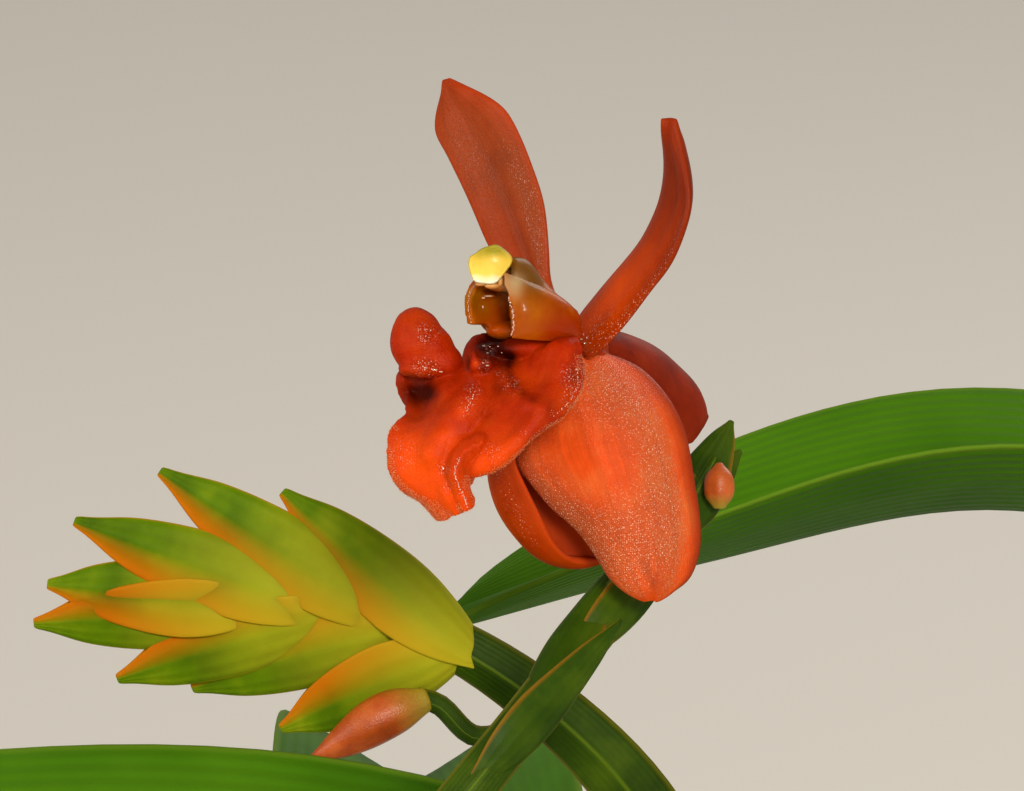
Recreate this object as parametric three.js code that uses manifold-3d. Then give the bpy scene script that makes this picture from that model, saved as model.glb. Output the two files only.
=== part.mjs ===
// A potted orchid, Stichorkis gibbosa: a clump of one-leaved pseudobulbs on bark in a clay pot, with
// flat two-ranked spikes that open one small orange-red flower at a time.
// Millimetres, +Z up. The origin is the middle of the pot's flat underside.
import * as THREE from "three";
import { mergeVertices } from "three/addons/utils/BufferGeometryUtils.js";
import Module from "manifold-3d";

const wasm = await Module();
wasm.setup();

// Driving dimensions.
const gap = 0.3; // between pieces that touch
const pot = {
  height: 72,
  baseRadius: 28,
  rimRadius: 41,
  wall: 3.6,
  floor: 5,
  band: 15, // height of the thick rim band
  bandStep: 2.2, // how far the band stands out of the wall
  drainRadius: 3.5,
  drainRing: 14,
  drains: 4,
  sides: 36,
};
const bark = { level: 63, chips: 30, chipLength: 13, chipWidth: 9, chipHeight: 6, sides: 30 };
const bulb = { height: 21, radius: 5.2, flatness: 0.8, foot: 2.6, apex: 1.9, sides: 9 };
const rhizome = { radius: 1.7, sides: 6 };
const leaf = { length: 132, halfWidth: 4.9, thickness: 0.7, fold: 0.95, rows: 15, foot: 1.1 };
const stalk = { halfWidth: 0.72, halfThickness: 0.36, sides: 6 };
const bract = { halfWidth: 0.62, thickness: [1.05, 0.6] };
const tepalThickness = 0.62;
const flowerGap = 0.12; // between the small pieces of one flower
const viewTilt = 12; // degrees that the flowers lean back from upright
const frontHeart = [4, -14, 186]; // the heart of the front flower

const colours = {
  clay: 0xb5653c,
  bark: 0x5a3a22,
  bulb: 0x7d9a34,
  root: 0xb9ae8c,
  leaf: 0x3f6b12,
  stalk: 0x5f7410,
  bud: 0xc85a1c,
  tepal: 0xe0521c,
  lip: 0xd53a0c,
  column: 0xb8640a,
  cap: 0xf4dc55,
};

const v3 = (x, y, z) => new THREE.Vector3(x, y, z);
const mix = THREE.MathUtils.lerp;
const radians = THREE.MathUtils.degToRad;
const lineThrough = (points) => new THREE.CatmullRomCurve3(points.map((p) => v3(...p)));

function finish(colour, roughness) {
  return new THREE.MeshStandardMaterial({ color: colour, roughness, metalness: 0 });
}

function mesh(name, geometry, material) {
  const made = new THREE.Mesh(geometry, material);
  made.name = name;
  return made;
}

// Seeded random numbers from 0 to 1.
function randomSource(seed) {
  let state = seed;
  return () => {
    state = (state * 1664525 + 1013904223) % 4294967296;
    return state / 4294967296;
  };
}

// The value at t, from 0 to 1, of a smooth line through evenly spaced values.
function along(values, t) {
  const line = new THREE.SplineCurve(values.map((value, i) => new THREE.Vector2(i, value)));
  return line.getPoint(t).y;
}

function solidOf(geometry) {
  const bare = geometry.clone();
  bare.deleteAttribute("normal");
  bare.deleteAttribute("uv");
  const merged = mergeVertices(bare, 1e-4);
  const corners = merged.index.array;
  const kept = [];
  for (let i = 0; i < corners.length; i += 3) {
    const [a, b, c] = corners.slice(i, i + 3);
    if (a !== b && b !== c && a !== c) kept.push(a, b, c);
  }
  const vertProperties = merged.attributes.position.array;
  const triVerts = new Uint32Array(kept);
  return new wasm.Manifold(new wasm.Mesh({ numProp: 3, vertProperties, triVerts }));
}

function largest(solid) {
  return solid.decompose().reduce((best, body) => (body.volume() > best.volume() ? body : best));
}

// The geometry of a solid's largest body, so that loose scraps are dropped.
function geometryOf(solid) {
  const { vertProperties, triVerts } = largest(solid).getMesh();
  const geometry = new THREE.BufferGeometry();
  geometry.setAttribute("position", new THREE.BufferAttribute(vertProperties, 3));
  geometry.setIndex(new THREE.BufferAttribute(triVerts, 1));
  return geometry;
}

function fuse(geometries) {
  return geometryOf(geometries.map(solidOf).reduce((all, one) => all.add(one)));
}

// Cuts room for a neighbour, with a clearance on every side of it.
function clearOf(geometry, neighbour, clearance) {
  let body = solidOf(geometry);
  for (const [x, y, z] of [[1, 0, 0], [-1, 0, 0], [0, 1, 0], [0, -1, 0], [0, 0, 1], [0, 0, -1]]) {
    const shifted = neighbour.clone().translate(x * clearance, y * clearance, z * clearance);
    body = body.subtract(solidOf(shifted));
  }
  return geometryOf(body);
}

// A closed body from two grids of points, the upper and the lower face of a blade, split alike.
function slab(upper, lower) {
  const rows = upper.length;
  const columns = upper[0].length;
  const top = (i, j) => i * columns + j;
  const low = (i, j) => rows * columns + top(i, j);
  const faces = [];
  const quad = (a, b, c, d) => faces.push(a, b, c, a, c, d);
  for (let i = 0; i < rows - 1; i++) {
    for (let j = 0; j < columns - 1; j++) {
      quad(top(i, j), top(i, j + 1), top(i + 1, j + 1), top(i + 1, j));
      faces.push(low(i, j), low(i + 1, j + 1), low(i, j + 1));
      faces.push(low(i, j), low(i + 1, j), low(i + 1, j + 1));
    }
    quad(top(i, 0), top(i + 1, 0), low(i + 1, 0), low(i, 0));
    quad(top(i + 1, columns - 1), top(i, columns - 1), low(i, columns - 1), low(i + 1, columns - 1));
  }
  for (let j = 0; j < columns - 1; j++) {
    quad(top(0, j + 1), top(0, j), low(0, j), low(0, j + 1));
    quad(top(rows - 1, j), top(rows - 1, j + 1), low(rows - 1, j + 1), low(rows - 1, j));
  }
  const geometry = new THREE.BufferGeometry().setFromPoints([...upper.flat(), ...lower.flat()]);
  geometry.setIndex(faces);
  return geometry;
}

// The directions across and out of a blade at a place on its midline.
function bladeFrame(line, t, across) {
  const tangent = line.getTangentAt(Math.min(t, 0.995));
  const side = across.clone().addScaledVector(tangent, -across.dot(tangent)).normalize();
  const face = new THREE.Vector3().crossVectors(side, tangent).normalize();
  return { side, face };
}

// The same for a stem or a spike, whose flat face looks along facing.
function stemFrame(line, t, facing) {
  const tangent = line.getTangentAt(Math.min(t, 0.995));
  const face = facing.clone().addScaledVector(tangent, -facing.dot(tangent)).normalize();
  const side = new THREE.Vector3().crossVectors(face, tangent).normalize();
  return { side, face, tangent };
}

// A leaf-like blade on a midline. left and right are the half widths on its two sides, from root to
// tip. fold lifts both halves as a V, cup bends the edges towards the face, skew shortens the right
// side, blunt says how late the tip rounds off, and tip is the share of the width left at its end.
// A flat blade is as thick at its edges, and others thin out like a lens.
function blade(shape) {
  const { line, across, rows, columns, thickness, fold = 0, cup = 0, skew = 0 } = shape;
  const { blunt = 8, tip = 0, flat = false } = shape;
  const upper = [];
  const lower = [];
  for (let i = 0; i <= rows; i++) {
    const t = 1 - (1 - i / rows) ** 1.5; // rows close up towards the tip
    const direction = across[0].clone().lerp(across[1], t);
    const rounding = tip + (1 - tip) * Math.sqrt(Math.max(0, 1 - t ** blunt));
    const topRow = [];
    const lowRow = [];
    for (let j = 0; j <= columns; j++) {
      const s = mix(-1, 1, j / columns);
      const place = t * (1 - skew * ((s + 1) / 2) * t ** 3);
      const { side, face } = bladeFrame(line, place, direction);
      const width = along(s < 0 ? shape.left : shape.right, t) * rounding;
      const rise = width * (Math.abs(s) * fold * (1 - 0.4 * t) + s * s * cup);
      const middle = line.getPointAt(place).addScaledVector(side, s * width).addScaledVector(face, rise);
      const lens = flat ? 1 - 0.14 * t : Math.sqrt(Math.max(0, 1 - s * s)) * Math.max(rounding, 0.3);
      topRow.push(middle.clone().addScaledVector(face, (thickness / 2) * lens));
      lowRow.push(middle.clone().addScaledVector(face, (-thickness / 2) * lens));
    }
    upper.push(topRow);
    lower.push(lowRow);
  }
  return slab(upper, lower);
}

// A closed sheet of even thickness on a net of points, whose rows all have the same number of points.
function sheet(net, rows, columns, thickness) {
  const surface = (s, t) => {
    const across = net.map((row) => lineThrough(row).getPoint(s));
    return new THREE.CatmullRomCurve3(across).getPoint(t);
  };
  const step = 0.02;
  const upper = [];
  const lower = [];
  for (let i = 0; i <= rows; i++) {
    const t = i / rows;
    const topRow = [];
    const lowRow = [];
    for (let j = 0; j <= columns; j++) {
      const s = j / columns;
      const overS = surface(Math.min(1, s + step), t).sub(surface(Math.max(0, s - step), t));
      const overT = surface(s, Math.min(1, t + step)).sub(surface(s, Math.max(0, t - step)));
      const face = overS.cross(overT).normalize();
      topRow.push(surface(s, t).addScaledVector(face, thickness / 2));
      lowRow.push(surface(s, t).addScaledVector(face, -thickness / 2));
    }
    upper.push(topRow);
    lower.push(lowRow);
  }
  return slab(upper, lower);
}

// A closed tube of elliptical section along a line. The half sizes are functions of t.
function stem(line, steps, sides, facing, halfWidth, halfThickness) {
  const points = [];
  const faces = [];
  for (let i = 0; i <= steps; i++) {
    const t = i / steps;
    const { side, face } = stemFrame(line, t, facing);
    for (let k = 0; k < sides; k++) {
      const turn = (2 * Math.PI * k) / sides;
      const point = line.getPointAt(t).addScaledVector(side, Math.cos(turn) * halfWidth(t));
      points.push(point.addScaledVector(face, Math.sin(turn) * halfThickness(t)));
    }
  }
  for (let i = 0; i < steps; i++) {
    for (let k = 0; k < sides; k++) {
      const a = i * sides + k;
      const b = i * sides + ((k + 1) % sides);
      faces.push(a, b + sides, a + sides, a, b, b + sides);
    }
  }
  const end = steps * sides;
  for (let k = 1; k < sides - 1; k++) {
    faces.push(0, k + 1, k, end, end + k, end + k + 1);
  }
  const geometry = new THREE.BufferGeometry().setFromPoints(points);
  geometry.setIndex(faces);
  return geometry;
}

function ellipsoid(centre, radii, sides) {
  const ball = new THREE.SphereGeometry(1, sides, Math.round(sides * 0.6));
  return ball.scale(...radii).translate(...centre);
}

// The clay pot, with a thick rim band, a flat foot and drain holes clear of the middle.
function wallRadius(z) {
  return mix(pot.baseRadius, pot.rimRadius - pot.bandStep, z / pot.height);
}

function potMesh() {
  const bandFoot = pot.height - pot.band;
  const inside = (z) => wallRadius(z) - pot.wall;
  const profile = [
    [0, 0],
    [pot.baseRadius - 1, 0],
    [pot.baseRadius, 1],
    [wallRadius(bandFoot - 1), bandFoot - 1],
    [wallRadius(bandFoot) + pot.bandStep, bandFoot + 0.6],
    [pot.rimRadius, pot.height - 1.6],
    [pot.rimRadius - 2.2, pot.height],
    [inside(pot.height) + 1.2, pot.height - 0.4],
    [inside(pot.height), pot.height - 2],
    [inside(pot.floor + 2), pot.floor + 2],
    [inside(pot.floor) - 2, pot.floor],
    [0, pot.floor],
  ].map(([r, z]) => new THREE.Vector2(r, z));
  let body = solidOf(new THREE.LatheGeometry(profile, pot.sides).rotateX(Math.PI / 2));
  for (let i = 0; i < pot.drains; i++) {
    const turn = (2 * Math.PI * (i + 0.5)) / pot.drains;
    const drill = new THREE.CylinderGeometry(pot.drainRadius, pot.drainRadius, pot.floor * 3, 12);
    drill.rotateX(Math.PI / 2);
    drill.translate(pot.drainRing * Math.cos(turn), pot.drainRing * Math.sin(turn), 0);
    body = body.subtract(solidOf(drill));
  }
  return mesh("pot", geometryOf(body), finish(colours.clay, 0.85));
}

// A flower's own frame: millimetres from its heart, x to the right, y away and z up, as seen from the
// front. The frame leans back by viewTilt, and turn swings the flower about the upright.
function flowerFrame(heart, turn) {
  const frame = new THREE.Group();
  frame.rotation.order = "ZXY";
  frame.rotation.set(radians(-viewTilt), 0, radians(turn));
  frame.position.set(...heart);
  frame.updateMatrixWorld(true);
  return frame;
}

const front = flowerFrame(frontHeart, 0);
const back = flowerFrame([31, 30, 168], 160);
const placed = (frame, points) => points.map((p) => v3(...p).applyMatrix4(frame.matrixWorld).toArray());

// The growths: where each pseudobulb stands, its size against the full one, and its leaf. A leaf goes
// from startLean to endLean from upright, and later in its length where late is large. The two that
// show behind the front flower follow a route of their own, in that flower's frame.
const leafRight = [
  [-3.5, 37, -84],
  [0.5, 35, -72],
  [9, 31.5, -54],
  [17, 26, -34],
  [20.5, 20.5, -16],
  [17, 17, -6.8],
  [9.97, 16, -4.35],
  [2.4, 16, -5.2],
  [-2.9, 16, -6.2],
];
const leafBelow = [
  [19, 33, -84],
  [22, 24.5, -60],
  [19.5, 13.5, -38],
  [9.5, 7.6, -21],
  [-2.5, 6.2, -13.9],
  [-12.5, 5.5, -12.6],
  [-25, 4.5, -14.7],
  [-38, 2, -22],
  [-47, 0.5, -32],
];
const growths = [
  { at: [-14, -14], size: 1, leaf: { azimuth: 214, length: 0.95, startLean: 12, endLean: 128, late: 1.5 } },
  { at: [14, -5], size: 0.97, leaf: { azimuth: -56, length: 0.98, startLean: 11, endLean: 126, late: 1.5 } },
  { at: [3, -6], size: 0.95, leaf: { azimuth: -112, length: 0.85, startLean: 12, endLean: 130, late: 1.5 } },
  { at: [0, 6], size: 1.05, leaf: { azimuth: 180, route: leafRight, roll: 0.14 } },
  { at: [14, 11], size: 1, leaf: { azimuth: 38, length: 1.02, startLean: 9, endLean: 122, late: 1.7 } },
  { at: [-13, 0], size: 0.9, leaf: { azimuth: 170, length: 1, startLean: 8, endLean: 120, late: 1.8 } },
  { at: [2, 18], size: 0.92, leaf: { azimuth: 92, length: 0.96, startLean: 10, endLean: 124, late: 1.5 } },
  { at: [-13, 14], size: 0.86, leaf: { azimuth: 132, length: 0.92, startLean: 12, endLean: 118, late: 1.4 } },
  { at: [22, 3], size: 0.84, leaf: { azimuth: 180, route: leafBelow } },
  { at: [22, -14], size: 0.8, leaf: { azimuth: -12, length: 0.72, startLean: 24, endLean: 120, late: 1.2 } },
  { at: [-24, -4], size: 0.66 },
  { at: [-2, -26], size: 0.6 },
];
const rhizomeBranches = [
  [11, 0, 2, 1, 9],
  [10, 5, 3, 4, 8],
  [7, 6, 4],
  [2, 3],
];

const bulbFoot = bark.level + 2.6;
const bulbTop = (growth) => bulbFoot + bulb.height * growth.size;

function bulbGeometry(growth, swell) {
  const height = bulb.height * growth.size;
  const full = bulb.radius * Math.sqrt(growth.size);
  const profile = [
    [0, 0],
    [bulb.foot, 0],
    [full * 0.86, height * 0.12],
    [full, height * 0.3],
    [full * 0.9, height * 0.52],
    [full * 0.62, height * 0.76],
    [bulb.apex, height],
    [0, height],
  ].map(([r, z]) => new THREE.Vector2(r + (r > 0 ? swell : 0), z + (z > 0 ? swell : -swell)));
  const body = new THREE.LatheGeometry(profile, bulb.sides).rotateX(Math.PI / 2);
  body.scale(1, bulb.flatness, 1);
  body.rotateZ(growth.at[0] * 0.13);
  return body.translate(growth.at[0], growth.at[1], bulbFoot);
}

function rhizomeGeometry(swell) {
  const height = bulbFoot - gap - rhizome.radius;
  const round = () => rhizome.radius + swell;
  const branches = rhizomeBranches.map((order) => {
    const line = lineThrough(order.map((i) => [...growths[i].at, height]));
    return stem(line, 4 * (order.length - 1), rhizome.sides, v3(0, 0, 1), round, round);
  });
  return fuse(branches);
}

// Bark: a filled body whose top is covered in chips, with plain holes for the bulbs and the rhizome.
function barkMesh() {
  const random = randomSource(7);
  const foot = pot.floor + gap;
  const rimRoom = wallRadius(bark.level) - pot.wall - gap;
  const profile = [
    [0, foot],
    [wallRadius(pot.floor) - pot.wall - 2.6, foot],
    [rimRoom, bark.level],
    [0, bark.level + 1],
  ].map(([r, z]) => new THREE.Vector2(r, z));
  let body = solidOf(new THREE.LatheGeometry(profile, bark.sides).rotateX(Math.PI / 2));
  for (let i = 0; i < bark.chips; i++) {
    const reach = (rimRoom - bark.chipLength * 0.55) * Math.sqrt((i + 0.5) / bark.chips);
    const turn = i * 2.39996; // the golden angle, which spreads the chips evenly
    const size = mix(0.7, 1, random());
    const width = bark.chipWidth * mix(0.7, 1, random());
    const chip = new THREE.BoxGeometry(bark.chipLength * size, width, bark.chipHeight);
    chip.rotateY(mix(-0.3, 0.3, random()));
    chip.rotateX(mix(-0.3, 0.3, random()));
    chip.rotateZ(random() * Math.PI);
    const height = bark.level - bark.chipHeight * 0.2 + random() * 1.3;
    body = body.add(solidOf(chip.translate(reach * Math.cos(turn), reach * Math.sin(turn), height)));
  }
  for (const growth of growths) body = body.subtract(solidOf(bulbGeometry(growth, gap)));
  body = body.subtract(solidOf(rhizomeGeometry(gap)));
  return mesh("bark", geometryOf(body), finish(colours.bark, 0.9));
}

// The foot of a leaf or, on the other side of the bulb's apex, of a spike.
function footOn(growth, side) {
  const turn = radians(growth.leaf.azimuth);
  const [x, y] = growth.at;
  const shift = side * (growth.spike ? leaf.foot : 0);
  return [x + shift * Math.cos(turn), y + shift * Math.sin(turn), bulbTop(growth) + gap];
}

// A leaf's midline adds up short steps that lean further and further out, or follows its route.
function leafLine(growth) {
  const { azimuth, length, startLean, endLean, late, route } = growth.leaf;
  const foot = footOn(growth, 1);
  if (route) return lineThrough([foot, ...placed(front, route)]);
  const out = v3(Math.cos(radians(azimuth)), Math.sin(radians(azimuth)), 0);
  const steps = 24;
  const pace = (leaf.length * length) / steps;
  const place = v3(...foot);
  const points = [place.clone()];
  for (let i = 0; i < steps; i++) {
    const lean = radians(mix(startLean, endLean, ((i + 0.5) / steps) ** late));
    place.addScaledVector(out, Math.sin(lean) * pace);
    place.z += Math.cos(lean) * pace;
    points.push(place.clone());
  }
  return new THREE.CatmullRomCurve3(points);
}

function leafMesh(growth, number) {
  const turn = radians(growth.leaf.azimuth);
  const across = v3(Math.sin(turn), -Math.cos(turn), 0);
  const atTip = across.clone().setZ(growth.leaf.roll ?? 0);
  const full = leaf.halfWidth * mix(0.8, 1, growth.size);
  const widths = [0.24, 0.42, 0.74, 0.95, 1, 1, 0.98, 0.95, 0.85, 0.55].map((w) => w * full);
  const body = blade({
    line: leafLine(growth),
    across: [across, atTip],
    left: widths,
    right: widths,
    rows: leaf.rows,
    columns: 2,
    thickness: leaf.thickness,
    fold: leaf.fold,
    blunt: 34,
    flat: true,
  });
  return mesh("leaf_" + number, body, finish(colours.leaf, 0.45));
}

// The sepals and petals, in the flower's frame. The flower faces left and a little forward, so its
// near side is also its right side.
const tepals = {
  lateralNear: {
    line: [[-0.1, 0.4, 0], [0.17, 0.05, -0.85], [0.47, -0.25, -1.76], [0.85, -0.35, -2.9],
      [1.3, -0.2, -4.13], [1.58, 0.2, -5.5]],
    across: [[0.95, 0.1, 0.3], [0.95, 0.1, 0.25]],
    left: [0.5, 1.85, 1.92, 1.45, 1.15, 1],
    right: [0.4, 1.36, 1.62, 1.5, 1.45, 1.2],
    columns: 6,
    cup: 0.3,
    blunt: 7,
  },
  lateralFar: {
    line: [[-0.2, 0.5, 0], [-1.1, 0.9, -1.1], [-1.66, 1.2, -2.2], [-1.62, 1.5, -3.3],
      [-1.1, 1.7, -4.15], [0, 1.8, -4.62]],
    across: [[0.15, 0.98, 0], [0.15, 0.98, 0]],
    left: [0.5, 1.3, 1.6, 1.5, 1.2, 0.8],
    right: [0.5, 1.3, 1.6, 1.5, 1.2, 0.8],
    columns: 6,
    cup: -0.4,
  },
  dorsal: {
    line: [[0, 0.45, 0.05], [0.75, 1.15, 0.12], [1.5, 1.85, -0.35], [2.15, 2.4, -0.95], [2.66, 2.7, -1.6]],
    across: [[0.66, -0.75, 0], [0.66, -0.75, 0]],
    left: [0.5, 0.85, 0.95, 0.85, 0.6],
    right: [0.5, 0.85, 0.95, 0.85, 0.6],
    columns: 4,
    cup: -0.15,
  },
  petalFar: {
    line: [[-0.45, 0.5, 0.2], [-0.93, 0.95, 1.45], [-1.48, 1.5, 2.85], [-2.08, 2, 4.2], [-2.7, 2.35, 5.68]],
    across: [[0.74, -0.61, 0.26], [0.74, -0.61, 0.2]],
    left: [0.4, 0.6, 0.85, 1.1, 0.62],
    right: [0.4, 0.66, 0.86, 1.1, 0.95],
    columns: 4,
    cup: 0.12,
    skew: 0.2,
    blunt: 20,
    tip: 0.3,
  },
  petalNear: {
    line: [[0, 0.1, 0.05], [0.64, -0.5, 0.78], [1.23, -1, 1.55], [1.7, -1.35, 2.33], [1.99, -1.6, 3.18],
      [1.97, -1.7, 4.03], [1.84, -1.7, 4.82]],
    across: [[0.45, -0.85, -0.3], [0.3, -0.95, 0]],
    left: [0.45, 0.75, 0.8, 0.76, 0.5],
    right: [0.45, 0.7, 0.76, 0.72, 0.5],
    columns: 4,
    cup: 0.15,
    blunt: 20,
    tip: 0.3,
  },
};
const pedicel = [[-0.15, 0.35, 0], [0.75, 1.1, -0.95], [1.45, 1.35, -2.2], [1.95, 1.85, -3.5]];

function tepal(shape) {
  return blade({
    ...shape,
    line: lineThrough(shape.line),
    across: shape.across.map((a) => v3(...a)),
    rows: 9,
    thickness: tepalThickness,
  });
}

function perianthGeometry() {
  const round = (t) => mix(0.5, 0.3, t);
  const ovary = stem(lineThrough(pedicel), 6, 7, v3(0, 1, 0), round, round);
  const heart = ellipsoid([-0.05, 0.4, 0], [0.6, 0.6, 0.45], 8);
  return fuse([...Object.values(tepals).map(tepal), ovary, heart]);
}

// The lip: it runs forward under the column and then bends down. Each row of its net goes from the far
// edge to the near one, and the rows run from the throat to the tip.
const lipNet = [
  [[-1.4, 0.2, 0.05], [-1.25, -0.2, -0.2], [-1, -0.5, -0.35], [-0.7, -0.8, -0.3], [-0.4, -1, -0.2], [-0.15, -0.9, -0.15]],
  [[-2.25, -0.1, 0.1], [-2.3, -0.5, -0.2], [-2.1, -0.95, -0.5], [-1.55, -1.3, -0.6], [-0.8, -1.75, -0.4], [0, -1.7, -0.25]],
  [[-3.3, -0.5, -0.1], [-2.9, -0.9, -0.45], [-2.4, -1.35, -0.75], [-1.7, -1.75, -0.95], [-0.9, -2.2, -0.85], [0, -1.95, -0.7]],
  [[-3.9, -0.75, -0.7], [-3.45, -0.95, -1], [-2.7, -1.6, -1.1], [-1.9, -2.1, -1.4], [-1.05, -2.5, -1.25], [-0.25, -2.2, -1.2]],
  [[-3.72, -0.95, -1.4], [-3.35, -1.3, -1.6], [-2.85, -1.9, -1.75], [-2.1, -2.3, -1.85], [-1.4, -2.65, -1.7], [-0.75, -2.55, -1.5]],
  [[-3.95, -1.4, -1.85], [-3.5, -1.9, -2.05], [-2.95, -2.15, -2.2], [-2.4, -2.4, -2.2], [-1.8, -2.7, -2.15], [-1.2, -2.7, -2]],
  [[-3.98, -1.5, -2.45], [-3.55, -2.05, -2.55], [-2.95, -2.25, -2.7], [-2.65, -2.5, -2.7], [-2.2, -2.55, -2.65], [-1.7, -2.65, -2.48]],
  [[-3.78, -1.45, -2.95], [-3.4, -1.85, -3.05], [-2.95, -2.1, -3.2], [-2.65, -2.3, -3.2], [-2.45, -2.25, -3.1], [-2.25, -2.3, -2.85]],
  [[-3.4, -1.45, -3.25], [-3.15, -1.7, -3.45], [-2.9, -1.9, -3.6], [-2.7, -2, -3.58], [-2.5, -2, -3.5], [-2.35, -2.05, -3.35]],
];

function lipGeometry() {
  const trough = sheet(lipNet, 14, 8, tepalThickness);
  const knob = ellipsoid([-3.4, -0.95, 0.02], [0.66, 0.55, 0.76], 9);
  const shoulder = ellipsoid([-2.9, -0.9, -0.2], [0.5, 0.45, 0.5], 8);
  const wart = ellipsoid([-2.12, -1.3, -0.42], [0.26, 0.3, 0.26], 7);
  return fuse([trough, knob, shoulder, wart]);
}

// The column: an arched hood over the stigma, open forward and down. Each row of its net goes from the
// near side flap over the back to the far one, and the rows run from the foot to the front rim.
const columnNet = [
  [[-0.3, -0.95, 0.12], [-0.2, -0.85, 0.42], [-0.3, -0.4, 0.78], [-0.8, -0.05, 0.7], [-1.05, 0.05, 0.45], [-1.1, -0.05, 0.2]],
  [[-0.8, -1.3, 0.22], [-0.62, -1.3, 0.65], [-0.75, -0.8, 1.12], [-1.35, -0.4, 1.1], [-1.65, -0.35, 0.75], [-1.6, -0.45, 0.35]],
  [[-1.3, -1.65, 0.26], [-1.25, -1.7, 0.8], [-1.28, -1.2, 1.55], [-1.85, -0.9, 1.45], [-2.15, -0.85, 0.95], [-2.1, -0.9, 0.45]],
  [[-1.5, -1.95, 0.28], [-1.56, -1.95, 0.85], [-1.65, -1.5, 1.4], [-2.1, -1.35, 1.3], [-2.32, -1.25, 0.85], [-2.27, -1.15, 0.48]],
];

const columnGeometry = () => sheet(columnNet, 6, 9, 0.4);

// One open flower, whose four pieces share its frame.
function addBloom(frame, number) {
  const column = columnGeometry();
  const lip = clearOf(lipGeometry(), column, flowerGap);
  const perianth = clearOf(clearOf(perianthGeometry(), column, flowerGap), lip, flowerGap);
  const cap = clearOf(ellipsoid([-1.92, -1.75, 1.68], [0.46, 0.42, 0.42], 9), column, flowerGap);
  frame.add(mesh("flower_" + number + "_sepals_petals", perianth, finish(colours.tepal, 0.45)));
  frame.add(mesh("flower_" + number + "_lip", lip, finish(colours.lip, 0.4)));
  frame.add(mesh("flower_" + number + "_column", column, finish(colours.column, 0.25)));
  frame.add(mesh("flower_" + number + "_anther_cap", cap, finish(colours.cap, 0.35)));
}

// A spike: a flattened stalk whose end carries two ranks of overlapping folded bracts. Each bract has
// its place before the spike's end, its angle from the stalk and its length.
function spikeGeometry(shape) {
  const line = lineThrough(shape.route);
  const length = line.getLength();
  const width = (t) => stalk.halfWidth * along(shape.widths, t);
  const thick = (t) => stalk.halfThickness * along([1.6, 1.3, 1.1, 1, 1, 0.8], t);
  const pieces = [stem(line, shape.steps, stalk.sides, shape.facing, width, thick), ...shape.extras];
  shape.bracts.forEach(([before, angle, reach], i) => {
    const start = 1 - before / length;
    const root = line.getPointAt(start);
    const { side, tangent } = stemFrame(line, start, shape.facing);
    const turn = radians(angle);
    const outwards = (far, share) =>
      root
        .clone()
        .addScaledVector(tangent, reach * far * Math.cos(turn))
        .addScaledVector(side, reach * far * Math.sin(turn) * share);
    const widths = [0.5, 1, 0.95, 0.6, 0.08].map((w) => w * bract.halfWidth * shape.bractWidth);
    pieces.push(
      blade({
        line: new THREE.CatmullRomCurve3([
          outwards(-0.1, 1),
          outwards(0.3, 0.85),
          outwards(0.65, 0.95),
          outwards(1, 1),
        ]),
        across: [side, side],
        left: widths,
        right: widths,
        rows: 5,
        columns: 2,
        thickness: mix(...bract.thickness, i / (shape.bracts.length - 1)),
        blunt: 30,
        flat: true,
      }),
    );
  });
  return fuse(pieces);
}

const plant = new THREE.Group();
for (const i of [0, 1, 4]) growths[i].spike = true;
plant.add(potMesh(), barkMesh(), mesh("rhizome", rhizomeGeometry(0), finish(colours.root, 0.7)));
growths.forEach((growth, i) => {
  plant.add(mesh("pseudobulb_" + (i + 1), bulbGeometry(growth, 0), finish(colours.bulb, 0.5)));
  if (growth.leaf) plant.add(leafMesh(growth, i + 1));
});

// The rachis behind an open flower, in the flower's frame, and its close bracts.
const rachis = [
  [-2.42, -0.9, -9.46],
  [-1.42, -0.2, -8.23],
  [-0.38, 0.8, -6.89],
  [0.64, 1.7, -5.66],
  [1.6, 2.3, -4.45],
  [2.4, 2.7, -3.29],
  [2.97, 2.9, -2.23],
];
const closeBracts = [
  [9.3, 3, 4.6],
  [7.4, -5, 4.4],
  [5.4, 3, 4.2],
  [3.4, -6, 3.8],
  [2, 5, 2.3],
  [1.2, -4, 1.9],
];
const budAbove = { centre: [2.95, 2.1, -3], radii: [0.34, 0.34, 0.5] };

function addFlowerSpike(frame, number, foot, lower) {
  const bud = ellipsoid(budAbove.centre, budAbove.radii, 8);
  bud.applyMatrix4(frame.matrixWorld);
  const spike = spikeGeometry({
    route: [foot, ...lower, ...placed(frame, rachis)],
    facing: v3(0, 1, 0).transformDirection(frame.matrixWorld),
    steps: 28,
    widths: [1.1, 1, 0.85, 0.7, 0.55, 0.6, 0.8, 0.6],
    bracts: closeBracts,
    bractWidth: 0.7,
    extras: [],
  });
  const colour = finish(colours.stalk, 0.5);
  plant.add(mesh("spike_" + number, clearOf(spike, bud, flowerGap), colour));
  plant.add(mesh("spike_" + number + "_bud", bud, finish(colours.bud, 0.4)));
}

// The front spike, with the open flower of the photograph and a small bud above it.
plant.add(front, back);
addBloom(front, 1);
addFlowerSpike(front, 1, footOn(growths[0], -1), [
  [-15, -13.5, 108],
  [-16, -14.5, 130],
  [-12, -16, 153],
  [-5, -16.6, 168],
]);

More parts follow.
